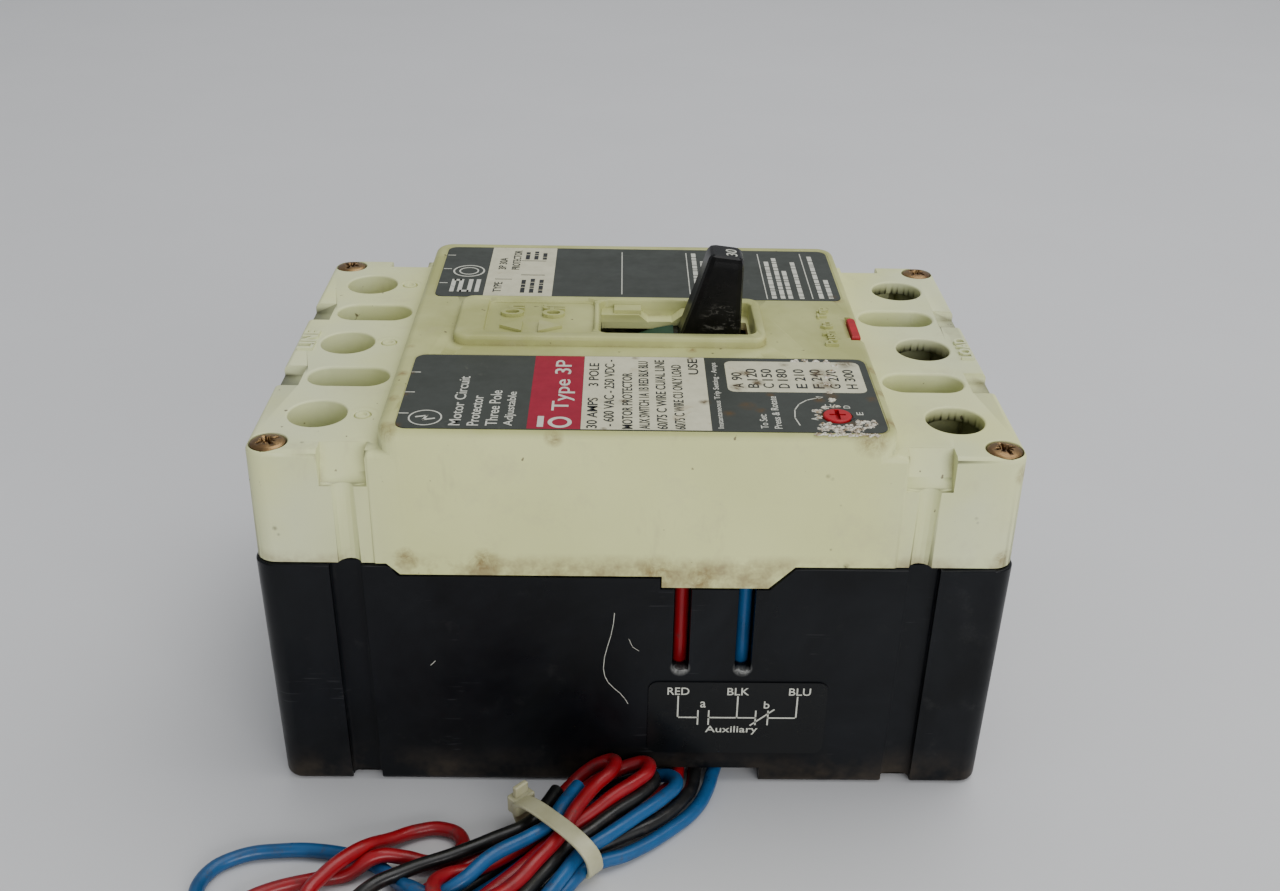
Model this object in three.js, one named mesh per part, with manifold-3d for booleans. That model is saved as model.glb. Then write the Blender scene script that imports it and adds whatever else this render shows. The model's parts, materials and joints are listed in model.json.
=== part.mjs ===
// Three-pole moulded-case motor protection breaker with an auxiliary switch and tied lead wires.
// Millimetres, +Z up. X runs along the poles (line end at -X, load end at +X), -Y is the lead-wire side.
// The origin is the centre of the mounting face, with the handle side up and the handle at OFF.
import * as THREE from "three";
import { mergeVertices } from "three/addons/utils/BufferGeometryUtils.js";
import Module from "manifold-3d";

const wasm = await Module();
wasm.setup();

// ---------- driving dimensions ----------
const LENGTH = 152.4;
const WIDTH = 104.8;
const JOINT_Z = 56.0; // top edge of the base
const SHOULDER_Z = 80.9; // top of the two terminal shoulders
const BLOCK_Z = 85.9; // top of the raised centre block
const BLOCK_HALF = 50.0;
const WALL = 3.0;
const FLOOR = 4.0;
const CORNER_R = 4.0;
const INNER_R = 1.5;
const IN_TOP_WALL = 79.5; // where what hangs from the shoulder's wall is joined to it
const GAP = 0.3; // running clearance between separate pieces
const POLE_PITCH = 34.93;
const TERMINAL_X = 64.0;
const ACCESS_R = 5.85;
const WELL = { x: 60.8, y: POLE_PITCH / 2, length: 17.0, width: 8.9, wall: 1.5 };
const BARRIER = {
  half: 1.2, cut: 2, crossbarHalf: 7, crossbarLow: 18.5, tripBack: 9, tripFront: 5, tripLow: 39,
};
const WIRE_WAY = { half: 6.5, z0: 12.5, z1: 26 };
const REST = { x: 51, halfX: 4, halfY: 5 }; // what the current path lies on
const BOSS = { top: 22.0, shoulder: 20.4, halfX: 10, halfY: 6, holeR: 2.6 };
const SCREW = { x: 71.2, y: 47.15, headR: 3.4, shankR: 1.6, sink: 0.2, headH: 2.0, tip: 34.0, pillarR: 4.6 };
const CROSS_RECESS = { half: 2.2, side: 0.5, depth: 1 };
const NOTCH = { x0: 52.1, x1: 61.3, floorZ: 73.6, topY: 46.9, floorY: 49.8 };
const CHANNEL = { x: 56.8, half: 2.4, baseX: 57.75, baseHalf: 3.25, depth: 1.5 };
const NOTCH_BACK = { x: 57, y: 46.5, halfX: 7, halfY: 3.5 };
const END_NOTCH = { x: 70.6, y0: 12.6, step: 17.2, y1: 22.2, depth: 4.2, ledge: 2.3 };
const NOTCH_FLOOR = { x: 72, halfX: 3, y0: 11, y1: 24, low: 70 };
const SLEEVE = { low: 60, wall: 1.5 }; // the tubes under the line end's holes
const ESCUTCHEON = {
  x0: -39.7, x1: 28.2, half: 12.2, rise: 2.0, r: 3.0, panelX0: -33, panelX1: -9.3, panelHalf: 9,
  panelR: 2, sunk: 0.8,
};
const SLOT = { x0: -7.8, x1: 24.5, half: 4.9 };
const HANDLE = { x: 12, z: 54, lean: 6.8, half: 4.4, tipR: 48.1, shieldR: 28, shieldT: 1.5, shieldHalf: 7 };
const LEVER = {
  spoke: 4, hub: 10, neck: 6.4, widestZ: 34, front: 5.9, back: 6.6, tipHalf: 4, chamfer: 1,
  away: 20,
};
const SHIELD_REACH = { back: 41, front: 42.5 }; // degrees to each side of the lever
const FLAG = { from: 39, to: 16, lift: 0.2, t: 0.25, half: 3.6 };
const YOKE = { halfX: 4.5, inner: 7.4, outer: 8.6, low: -4.5, bridge: 8, top: 9.2 };
const FLAP = { x0: -47, step: 5.2, x1: 26.7, z1: 53.8, z2: 51.2, rise: 5.1 };
const LEAD = {
  d: 3.0, red: 9.6, black: 16.1, blue: 22.6, slotW: 3.4, slotZ: 30.8, exitX0: 1.0, exitX1: 27.7,
  exitY: -41.5,
};
const STRAP = { z0: 11.0, z1: 13.2, half: 5.0, outer: 72, inner: 30 };
const FIXED_CONTACT = { x0: -37.5, x1: -30.5, half: 3, top: 15.4 };
const LUG = {
  x0: 57.5, x1: 70.5, half: 7.5, z0: 8.0, holeTop: 23.0, z1: 28.0, screwR: 3.0, screwTop: 34.0,
  slotHalf: 0.6, slotDepth: 1.5,
};
const CROSSBAR = { x: 2, z: 26, r: 5, half: 46, open: 24 };
const HORN = { x0: -11, y0: 2.8, y1: 5, z0: -5, z1: -1 }; // what the lower link pulls on
const ARM = { x0: -36, x1: 8, half: 3, z0: -8.3, z1: -5.3, padX1: -31, padHalf: 2.6, padLow: -10.1 };
const ARM_RELIEF = { x0: -16, x1: -2, y0: -0.2, y1: 3.1, low: -6.5 }; // room for the lower link
const SHUNT = { half: 2.5, side: 0.8, steps: 8 };
const FRAME = {
  x0: -14, x1: 23.5, half: 11.6, plate: 1.4, floor: 1.5, top: 58, barHalf: 6.5, barLow: 19,
  barTop: 33,
};
const WINDOW = { x0: -9, x1: 18, z0: 36, z1: 42 };
const CHUTE = {
  x0: -53, x1: -39.5, half: 10.2, board: 0.7, z0: 17, z1: 52, first: 20, pitch: 5, plate: 1.4,
  inset: 0.5,
};
const TRIP_BAR = { x: 38, z: 46, r: 3, half: 46 };
const PADDLE = { reach: 8, half: 3, z0: 40.7, z1: 43.8 };
const TRIP_TAB = { x1: 48.3, half: 1.8, side: 1.2 };
const COIL = { x: 33, r: 8.5, z0: 6, z1: 32, bore: 3.6, flangeHalf: 10, flange: 2 };
const ARMATURE = { r: 3.2, top: 38, bottom: 12, headR: 4.8, head: 2 };
const BUTTON = {
  x0: 45.5, x1: 48.5, half: 5.4, bottom: 83.8, top: 86.2, stemHalf: 1.7, stemBottom: 47.6,
  wayLow: 70,
};
const BUTTON_SPRING = { outer: 3.4, inner: 2.6, z: 60, height: 8 };
const DIAL = { x: 38.6, y: -43.7, r: 2.75, top: 86.1, shaftR: 1.8, bottom: 60, headLow: 81.4 };
const DIAL_CAM = { r: 3.6, shift: 1.2, height: 4 };
const DIAL_SLOT = { half: 2, side: 0.4, depth: 0.9 };
const COLLAR = { r: 3.6, z: 72, height: 2.5 };
const TOGGLE = {
  anchor: [-4, 56], upper: 14, upperTurn: -26.15, lower: 19.1, lowerTurn: 30.2, width: 4.4,
  side: 2.4,
};
const SPRING = { y: -5, r: 1.6, topX: 11, topZ: 60.2, kneeX: 1.2, kneeZ: 1.6 };
const CRADLE = { x0: -13, tip: 33.5, z0: 46.6, z1: 51.1, half: 9.9, plate: 1.0, latch: 2.2 };
const AUX = { x0: 3, x1: 29, y0: -45.5, y1: -38, z0: 32.4, z1: 51, tabHalf: 1.2, tabOut: 3.4, tabT: 0.6 };
const AUX_LEVER = { x0: 0.4, x1: 2.4, y0: -42.5, y1: -40.5, z0: 31.8, z1: 50.5 };
const UNDER_BLOCK = 80.0; // a level inside the cover, below the centre block's top wall
const LABEL_T = 0.25;
const LABEL_LIFT = 0.05;
const FRONT_LABEL = [-46, 47.5, -50.2, -17, 2];
const REAR_LABEL = [-46.4, 47.5, 15.5, 48.2, 2];
const WIRING_LABEL = [3, 41, 8.6, 27.8, 2];
const TIE = { x: -15.5, y: -75, half: 11.4, height: 9.8, t: 1.2, width: 3.8 };
const RUN_TURN = Math.atan2(-0.71, -0.7); // the way the tied bundle runs from the casing
const HANK_TOP = 9.2;
const HANK_EDGE = [
  [6, -54.4], [9.8, -58], [8.2, -64], [3, -70.2], [-2, -75], [-4.4, -82], [-14, -94], [-32, -112],
  [-42, -115.5], [-56, -113], [-68, -108], [-80, -98], [-88, -88], [-86, -79], [-72, -74.2], [-56, -73.5],
  [-44, -67.6], [-37, -69], [-31, -73], [-18, -60.5], [-6, -54.4],
];
const ROUND = 20; // segments in a small round
const poles = [-POLE_PITCH, 0, POLE_PITCH];
const signs = [-1, 1];

// ---------- materials ----------
const finish = (color, roughness, metalness = 0) => new THREE.MeshStandardMaterial({ color, roughness, metalness });
const cream = finish(0xc8c4a4, 0.5);
const blackMould = finish(0x16171a, 0.35);
const redMould = finish(0xb01e28, 0.4);
const steel = finish(0x9a9c9e, 0.4, 0.9);
const copper = finish(0xb4714a, 0.4, 0.95);
const brass = finish(0xa9874e, 0.4, 0.9);
const labelGrey = finish(0x4b504e, 0.55);
const fibre = finish(0x8d5a3c, 0.8);
const nylon = finish(0xd6d2b8, 0.4);

// ---------- shape helpers ----------
const radians = THREE.MathUtils.degToRad;

function box(x0, x1, y0, y1, z0, z1) {
  const geometry = new THREE.BoxGeometry(x1 - x0, y1 - y0, z1 - z0);
  return geometry.translate((x0 + x1) / 2, (y0 + y1) / 2, (z0 + z1) / 2);
}

function cylinder(x, y, z0, z1, r, sides = ROUND) {
  const geometry = new THREE.CylinderGeometry(r, r, z1 - z0, sides).rotateX(Math.PI / 2);
  return geometry.translate(x, y, (z0 + z1) / 2);
}

function barAlongY(x, z, half, r, sides = ROUND) {
  return new THREE.CylinderGeometry(r, r, 2 * half, sides).translate(x, 0, z);
}

function roundedRect(x0, x1, y0, y1, r) {
  const shape = new THREE.Shape();
  shape.moveTo(x0 + r, y0);
  shape.lineTo(x1 - r, y0);
  shape.absarc(x1 - r, y0 + r, r, -Math.PI / 2, 0);
  shape.lineTo(x1, y1 - r);
  shape.absarc(x1 - r, y1 - r, r, 0, Math.PI / 2);
  shape.lineTo(x0 + r, y1);
  shape.absarc(x0 + r, y1 - r, r, Math.PI / 2, Math.PI);
  shape.lineTo(x0, y0 + r);
  shape.absarc(x0 + r, y0 + r, r, Math.PI, 1.5 * Math.PI);
  return shape;
}

function slab(shape, z0, z1, curveSegments = 5) {
  const geometry = new THREE.ExtrudeGeometry(shape, { depth: z1 - z0, bevelEnabled: false, curveSegments });
  return geometry.translate(0, 0, z0);
}

function polygon(points) {
  return new THREE.Shape(points.map(([a, b]) => new THREE.Vector2(a, b)));
}

// An outline in X and Z, given thickness along Y.
function profileXZ(shape, y0, y1, curveSegments = 5) {
  const geometry = new THREE.ExtrudeGeometry(shape, { depth: y1 - y0, bevelEnabled: false, curveSegments });
  return geometry.rotateX(Math.PI / 2).translate(0, y1, 0);
}

// An outline in Y and Z, given thickness along X.
function profileYZ(shape, x0, x1) {
  const geometry = new THREE.ExtrudeGeometry(shape, { depth: x1 - x0, bevelEnabled: false });
  return geometry.rotateX(Math.PI / 2).rotateZ(Math.PI / 2).translate(x0, 0, 0);
}

function solid(geometry) {
  const bare = geometry.clone();
  bare.deleteAttribute("normal");
  bare.deleteAttribute("uv");
  const merged = mergeVertices(bare, 1e-4);
  const vertProperties = new Float32Array(merged.attributes.position.array);
  const triVerts = new Uint32Array(merged.index.array);
  return new wasm.Manifold(new wasm.Mesh({ numProp: 3, vertProperties, triVerts }));
}

function fromSolid(body) {
  const mesh = body.getMesh();
  const geometry = new THREE.BufferGeometry();
  geometry.setAttribute("position", new THREE.BufferAttribute(new Float32Array(mesh.vertProperties), 3));
  geometry.setIndex(new THREE.BufferAttribute(new Uint32Array(mesh.triVerts), 1));
  geometry.computeVertexNormals();
  return geometry;
}

function shaped(added, removed = []) {
  let body = solid(added[0]);
  for (const geometry of added.slice(1)) {
    body = body.add(solid(geometry));
  }
  for (const geometry of removed) {
    body = body.subtract(solid(geometry));
  }
  return fromSolid(body);
}

const breaker = new THREE.Group();

function piece(name, geometry, material, parent = breaker) {
  const mesh = new THREE.Mesh(geometry, material);
  mesh.name = name;
  parent.add(mesh);
  return mesh;
}

// A group that turns about the Y axis at one point, so that its pieces are drawn in the point's own frame.
function pivotAt(x, z, degrees) {
  const group = new THREE.Group();
  group.position.set(x, 0, z);
  group.rotation.y = radians(degrees);
  breaker.add(group);
  return group;
}

// ---------- casing ----------
function flapOutline(grow) {
  const top = JOINT_Z + WALL;
  return polygon([
    [FLAP.x0 - 2.6 - grow, top],
    [FLAP.x0 - 2.6 - grow, JOINT_Z + GAP - grow],
    [FLAP.x0 - grow, FLAP.z1 - grow],
    [FLAP.step - grow, FLAP.z1 - grow],
    [FLAP.step - grow, FLAP.z2 - grow],
    [FLAP.x1 + grow, FLAP.z2 - grow],
    [FLAP.x1 + FLAP.rise + grow, JOINT_Z + GAP - grow],
    [FLAP.x1 + FLAP.rise + grow, top],
  ]);
}

function baseBarrier(side) {
  const y = side * WELL.y;
  return box(-BLOCK_HALF, BLOCK_HALF, y - BARRIER.half, y + BARRIER.half, FLOOR - 1, JOINT_Z);
}

function base() {
  const halfX = LENGTH / 2;
  const halfY = WIDTH / 2;
  const outer = slab(roundedRect(-halfX, halfX, -halfY, halfY, CORNER_R), 0, JOINT_Z);
  const inside = roundedRect(-halfX + WALL, halfX - WALL, -halfY + WALL, halfY - WALL, INNER_R);
  const inner = slab(inside, FLOOR, JOINT_Z + 1, 2);
  const shell = shaped([outer], [inner]);
  const added = [shell, baseBarrier(-1), baseBarrier(1)];
  const removed = [];
  for (const sx of signs) {
    for (const sy of signs) {
      const wellX = sx * WELL.x;
      const wellY = sy * WELL.y;
      const [padX, padY] = [WELL.length / 2 - GAP, WELL.width / 2 - GAP];
      const { halfX: bossX, halfY: bossY } = BOSS;
      added.push(box(wellX - bossX, wellX + bossX, wellY - bossY, wellY + bossY, FLOOR - 1, BOSS.shoulder));
      const pad = roundedRect(wellX - padX, wellX + padX, wellY - padY, wellY + padY, padY - 0.01);
      added.push(slab(pad, FLOOR, BOSS.top));
      removed.push(cylinder(wellX, wellY, -1, BOSS.top + 1, BOSS.holeR, 12));
      added.push(cylinder(sx * SCREW.x, sy * SCREW.y, FLOOR - 1, JOINT_Z, SCREW.pillarR, 12));
      removed.push(cylinder(sx * SCREW.x, sy * SCREW.y, SCREW.tip - 2, JOINT_Z + 1, SCREW.shankR + GAP, 10));
      const channelX = sx * CHANNEL.baseX;
      const deep = sy * (halfY - CHANNEL.depth);
      const out = sy * (halfY + 1);
      const [low, high] = [Math.min(deep, out), Math.max(deep, out)];
      removed.push(box(channelX - CHANNEL.baseHalf, channelX + CHANNEL.baseHalf, low, high, -1, JOINT_Z + 1));
    }
    for (const y of poles) {
      const [low, high] = sx < 0 ? [-halfX - 1, -halfX + WALL + 1] : [halfX - WALL - 1, halfX + 1];
      removed.push(box(low, high, y - WIRE_WAY.half, y + WIRE_WAY.half, WIRE_WAY.z0, WIRE_WAY.z1));
      const [x0, x1] = [sx * REST.x - REST.halfX, sx * REST.x + REST.halfX];
      added.push(box(x0, x1, y - REST.halfY, y + REST.halfY, FLOOR - 1, STRAP.z0 - GAP));
    }
  }
  for (const sy of signs) {
    const { cut, crossbarHalf, crossbarLow, tripBack, tripFront, tripLow } = BARRIER;
    const [y0, y1] = [sy * WELL.y - cut, sy * WELL.y + cut];
    removed.push(box(CROSSBAR.x - crossbarHalf, CROSSBAR.x + crossbarHalf, y0, y1, crossbarLow, JOINT_Z + 1));
    removed.push(box(TRIP_BAR.x - tripBack, TRIP_BAR.x + tripFront, y0, y1, tripLow, JOINT_Z + 1));
  }
  for (const x of [LEAD.red, LEAD.blue]) {
    const half = LEAD.slotW / 2;
    removed.push(box(x - half, x + half, -halfY - 1, -halfY + WALL + 1, LEAD.slotZ, JOINT_Z + 1));
  }
  removed.push(box(LEAD.exitX0, LEAD.exitX1, -halfY - 1, LEAD.exitY, -1, FLOOR + 0.1));
  removed.push(profileXZ(flapOutline(GAP), -halfY - 1, -halfY + WALL + 1));
  return piece("base", shaped(added, removed), blackMould);
}

function sideNotch(sx, sy) {
  const outline = polygon([
    [sy * NOTCH.topY, SHOULDER_Z + 1],
    [sy * NOTCH.topY, SHOULDER_Z],
    [sy * NOTCH.floorY, NOTCH.floorZ],
    [sy * (WIDTH / 2 + 1), NOTCH.floorZ],
    [sy * (WIDTH / 2 + 1), SHOULDER_Z + 1],
  ]);
  const [x0, x1] = sx < 0 ? [-NOTCH.x1, -NOTCH.x0] : [NOTCH.x0, NOTCH.x1];
  return profileYZ(outline, x0, x1);
}

function notchBack(sx, sy, low) {
  const { x, y, halfX, halfY } = NOTCH_BACK;
  return box(sx * x - halfX, sx * x + halfX, sy * y - halfY, sy * y + halfY, low, IN_TOP_WALL);
}

function notchFloor(sx, sy) {
  const { x, halfX, y0, y1, low } = NOTCH_FLOOR;
  const [near, far] = sy < 0 ? [-y1, -y0] : [y0, y1];
  return box(sx * x - halfX, sx * x + halfX, near, far, low, IN_TOP_WALL);
}

// The notch has two levels: the one nearer the lead-wire side is the deeper.
function endNotch(sx, sy) {
  const { x, y0, step, y1, depth, ledge } = END_NOTCH;
  const [x0, x1] = sx < 0 ? [-LENGTH / 2 - 1, -x] : [x, LENGTH / 2 + 1];
  const [near, middle, far] = sy < 0 ? [-y1, -step, -y0] : [y0, step, y1];
  const deep = box(x0, x1, near, middle, SHOULDER_Z - depth, SHOULDER_Z + 1);
  return [deep, box(x0, x1, near, far, SHOULDER_Z - ledge, SHOULDER_Z + 1)];
}

function cover() {
  const low = JOINT_Z + GAP;
  const halfX = LENGTH / 2 - 0.2;
  const halfY = WIDTH / 2 - 0.2;
  const ends = slab(roundedRect(-halfX, halfX, -halfY, halfY, CORNER_R), low, SHOULDER_Z);
  const block = slab(roundedRect(-BLOCK_HALF, BLOCK_HALF, -halfY, halfY, CORNER_R), low + 5, BLOCK_Z);
  const inside = roundedRect(-halfX + WALL, halfX - WALL, -halfY + WALL, halfY - WALL, INNER_R);
  const hollow = slab(inside, low - 1, SHOULDER_Z - WALL, 2);
  const inBlock = box(-BLOCK_HALF + WALL, BLOCK_HALF - WALL, -halfY + WALL, halfY - WALL, low, BLOCK_Z - WALL);
  const shell = shaped([ends, block], [hollow, inBlock]);
  const added = [shell];
  const removed = [];
  for (const sx of signs) {
    for (const sy of signs) {
      const wellX = sx * WELL.x;
      const wellY = sy * WELL.y;
      const [a, b] = [WELL.length / 2, WELL.width / 2];
      const t = WELL.wall;
      const wellWall = roundedRect(wellX - a - t, wellX + a + t, wellY - b - t, wellY + b + t, b);
      const well = roundedRect(wellX - a, wellX + a, wellY - b, wellY + b, b - 0.01);
      added.push(slab(wellWall, BOSS.shoulder + GAP, IN_TOP_WALL));
      removed.push(slab(well, BOSS.shoulder - 1, BLOCK_Z + 1));
      added.push(cylinder(sx * SCREW.x, sy * SCREW.y, low, IN_TOP_WALL, SCREW.pillarR, 12));
      removed.push(cylinder(sx * SCREW.x, sy * SCREW.y, low - 1, BLOCK_Z, SCREW.shankR + GAP, 10));
      const seat = SHOULDER_Z - SCREW.sink - SCREW.headH - GAP;
      removed.push(cylinder(sx * SCREW.x, sy * SCREW.y, seat, BLOCK_Z, SCREW.headR + GAP));
      added.push(notchBack(sx, sy, low));
      removed.push(sideNotch(sx, sy));
      const channel = cylinder(sx * CHANNEL.x, sy * (WIDTH / 2), low - 1, NOTCH.floorZ + 0.1, CHANNEL.half, 16);
      removed.push(channel);
      added.push(notchFloor(sx, sy));
      removed.push(...endNotch(sx, sy));
    }
    for (const y of poles) {
      if (sx < 0) {
        added.push(cylinder(-TERMINAL_X, y, SLEEVE.low, IN_TOP_WALL, ACCESS_R + SLEEVE.wall, 24));
      }
      removed.push(cylinder(sx * TERMINAL_X, y, SLEEVE.low - 1, BLOCK_Z + 1, ACCESS_R, 24));
    }
  }
  const e = ESCUTCHEON;
  added.push(slab(roundedRect(e.x0, e.x1, -e.half, e.half, e.r), BLOCK_Z - 1, BLOCK_Z + e.rise));
  const rim = BLOCK_Z + e.rise;
  const panel = roundedRect(e.panelX0, e.panelX1, -e.panelHalf, e.panelHalf, e.panelR);
  removed.push(slab(panel, rim - e.sunk, rim + 1));
  removed.push(box(SLOT.x0, SLOT.x1, -SLOT.half, SLOT.half, UNDER_BLOCK, rim + 1));
  const { x0, x1, half, stemHalf } = BUTTON;
  removed.push(box(x0 - GAP, BLOCK_HALF + 2, -half - GAP, half + GAP, SHOULDER_Z + 0.5, rim));
  removed.push(box(x0 - GAP, x1 + GAP, -stemHalf - GAP, stemHalf + GAP, BUTTON.wayLow, rim));
  removed.push(cylinder(DIAL.x, DIAL.y, UNDER_BLOCK, rim, DIAL.r + GAP));
  added.push(profileXZ(flapOutline(0), -halfY, -halfY + WALL - GAP));
  return piece("cover", shaped(added, removed), cream);
}

function coverScrews() {
  let number = 1;
  for (const sx of signs) {
    for (const sy of signs) {
      const [x, y] = [sx * SCREW.x, sy * SCREW.y];
      const top = SHOULDER_Z - SCREW.sink;
      const under = top - SCREW.headH;
      const shank = cylinder(x, y, SCREW.tip, under + 0.5, SCREW.shankR, 10);
      const head = cylinder(x, y, under, top, SCREW.headR);
      const { half, side, depth } = CROSS_RECESS;
      const arms = [[half, side], [side, half]];
      const slots = arms.map(([a, b]) => box(x - a, x + a, y - b, y + b, top - depth, top + 1));
      piece(`cover_screw_${number}`, shaped([shank, head], slots), brass);
      number += 1;
    }
  }
}

function labels() {
  const z = BLOCK_Z + LABEL_LIFT;
  const front = roundedRect(...FRONT_LABEL);
  const dialHole = new THREE.Path();
  dialHole.absarc(DIAL.x, DIAL.y, DIAL.r + GAP, 0, 2 * Math.PI);
  front.holes.push(dialHole);
  piece("front_label", slab(front, z, z + LABEL_T), labelGrey);
  piece("rear_label", slab(roundedRect(...REAR_LABEL), z, z + LABEL_T), labelGrey);
  const y = -WIDTH / 2 - LABEL_LIFT;
  piece("wiring_label", profileXZ(roundedRect(...WIRING_LABEL), y - LABEL_T, y), labelGrey);
}

// ---------- handle and mechanism ----------
function handleOutline() {
  const shape = new THREE.Shape();
  const { spoke, hub, neck, widestZ, front, back, tipHalf, chamfer } = LEVER;
  const { shieldR: r, shieldT: t, tipR } = HANDLE;
  const inner = r - t;
  const reach = [radians(90 + SHIELD_REACH.back), radians(90 - SHIELD_REACH.front)];
  const foot = Math.acos(spoke / inner);
  const shoulder = Math.acos(neck / r);
  shape.moveTo(-spoke, hub);
  shape.lineTo(spoke, hub);
  shape.absarc(0, 0, inner, foot, reach[1], true);
  shape.absarc(0, 0, r, reach[1], shoulder, false);
  shape.lineTo(front, widestZ);
  shape.lineTo(tipHalf, tipR - chamfer);
  shape.lineTo(tipHalf - chamfer, tipR);
  shape.lineTo(-tipHalf + chamfer, tipR);
  shape.lineTo(-tipHalf, tipR - chamfer);
  shape.lineTo(-back, widestZ);
  shape.absarc(0, 0, r, Math.PI - shoulder, reach[0], false);
  shape.absarc(0, 0, inner, reach[0], Math.PI - foot, true);
  return shape;
}

function handle() {
  const frame = pivotAt(HANDLE.x, HANDLE.z, HANDLE.lean);
  const { away, hub } = LEVER;
  const whole = profileXZ(handleOutline(), -HANDLE.shieldHalf, HANDLE.shieldHalf, 10);
  const sides = [];
  for (const s of signs) {
    const [y0, y1] = s < 0 ? [-away, -HANDLE.half] : [HANDLE.half, away];
    sides.push(box(-away, away, y0, y1, HANDLE.shieldR, HANDLE.tipR + 1));
    sides.push(box(-hub - 1, hub + 1, y0, y1, hub - 1, HANDLE.shieldR - HANDLE.shieldT - 1));
  }
  piece("handle", shaped([whole], sides), blackMould, frame);
  positionFlag(frame);
  handleYoke(frame);
}

function positionFlag(frame) {
  const strip = new THREE.Shape();
  const low = HANDLE.shieldR + FLAG.lift;
  const [from, to] = [radians(90 + FLAG.from), radians(90 + FLAG.to)];
  strip.absarc(0, 0, low, from, to, true);
  strip.absarc(0, 0, low + FLAG.t, to, from, false);
  piece("position_flag", profileXZ(strip, -FLAG.half, FLAG.half, 6), finish(0x1f3a2c, 0.5), frame);
}

function handleYoke(frame) {
  const { halfX, inner, outer, low, bridge, top } = YOKE;
  const legs = signs.map((s) => box(-halfX, halfX, s < 0 ? -outer : inner, s < 0 ? -inner : outer, low, top));
  const across = box(-halfX, halfX, -outer, outer, bridge, top);
  piece("handle_yoke", shaped([across, ...legs]), steel, frame);
}

function linkBar(length, y0, y1) {
  const half = TOGGLE.width / 2;
  const shape = new THREE.Shape();
  shape.absarc(0, 0, half, 0, Math.PI, false);
  shape.lineTo(-half, -length);
  shape.absarc(0, -length, half, Math.PI, 2 * Math.PI, false);
  return profileXZ(shape, y0, y1, 6);
}

function toggle() {
  const [ax, az] = TOGGLE.anchor;
  const upper = pivotAt(ax, az, TOGGLE.upperTurn);
  piece("upper_link", linkBar(TOGGLE.upper, -TOGGLE.side, -GAP), steel, upper);
  const turn = radians(TOGGLE.upperTurn);
  const kneeX = ax - TOGGLE.upper * Math.sin(turn);
  const kneeZ = az - TOGGLE.upper * Math.cos(turn);
  const lower = pivotAt(kneeX, kneeZ, TOGGLE.lowerTurn);
  piece("lower_link", linkBar(TOGGLE.lower, GAP, TOGGLE.side), steel, lower);

  const top = new THREE.Vector3(SPRING.topX, SPRING.y, SPRING.topZ);
  const bottom = new THREE.Vector3(kneeX + SPRING.kneeX, SPRING.y, kneeZ + SPRING.kneeZ);
  const way = top.clone().sub(bottom);
  const coil = new THREE.CylinderGeometry(SPRING.r, SPRING.r, way.length(), 8);
  const spring = piece("operating_spring", coil, steel);
  spring.position.copy(bottom.clone().add(top).multiplyScalar(0.5));
  spring.quaternion.setFromUnitVectors(new THREE.Vector3(0, 1, 0), way.normalize());
}

function mechanismFrame() {
  const { x0, x1, half, plate, floor, top, barHalf, barLow, barTop } = FRAME;
  const low = FLOOR + GAP;
  const plates = signs.map((s) => box(x0, x1, s < 0 ? -half : half - plate, s < 0 ? plate - half : half, low, top));
  const floorPlate = box(x0, x1, -half, half, low, low + floor);
  const barHole = box(CROSSBAR.x - barHalf, CROSSBAR.x + barHalf, -half - 1, half + 1, barLow, barTop);
  const window = box(WINDOW.x0, WINDOW.x1, -half - 1, half + 1, WINDOW.z0, WINDOW.z1);
  piece("mechanism_frame", shaped([...plates, floorPlate], [barHole, window]), steel);
}

function cradle() {
  const { x0, tip, z0, z1, half, plate } = CRADLE;
  const bars = signs.map((s) => box(x0, tip, s < 0 ? -half : half - plate, s < 0 ? -half + plate : half, z0, z1));
  const latch = box(tip - CRADLE.latch, tip, -half, half, z0, z1);
  piece("cradle", shaped([...bars, latch]), steel);
}

function crossbar() {
  const frame = pivotAt(CROSSBAR.x, CROSSBAR.z, CROSSBAR.open);
  const rod = barAlongY(0, 0, CROSSBAR.half, CROSSBAR.r, 12);
  const horn = box(HORN.x0, 0, HORN.y0, HORN.y1, HORN.z0, HORN.z1);
  piece("crossbar", shaped([rod, horn]), blackMould, frame);
  poles.forEach((y, i) => {
    const { x0, x1, half, z0, z1, padX1, padHalf, padLow } = ARM;
    const blade = box(x0, x1, y - half, y + half, z0, z1);
    const pad = box(x0, padX1, y - padHalf, y + padHalf, padLow, z0 + GAP);
    const { x0: from, x1: to, y0, y1, low } = ARM_RELIEF;
    const relief = box(from, to, y + y0, y + y1, low, z1 + GAP);
    piece(`contact_arm_${i + 1}`, shaped([blade, pad], [relief]), copper, frame);
  });
}

function shunts() {
  poles.forEach((y, i) => {
    const route = new THREE.CatmullRomCurve3([
      new THREE.Vector3(7.2, y, 16.3),
      new THREE.Vector3(12, y, 16.5),
      new THREE.Vector3(16.5, y, 12),
      new THREE.Vector3(21.5, y, 9),
    ]);
    const { half, side, steps } = SHUNT;
    const section = polygon([[-half, -side], [half, -side], [half, side], [-half, side]]);
    const braid = new THREE.ExtrudeGeometry(section, { steps, extrudePath: route, bevelEnabled: false });
    piece(`flexible_shunt_${i + 1}`, braid, copper);
  });
}

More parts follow.
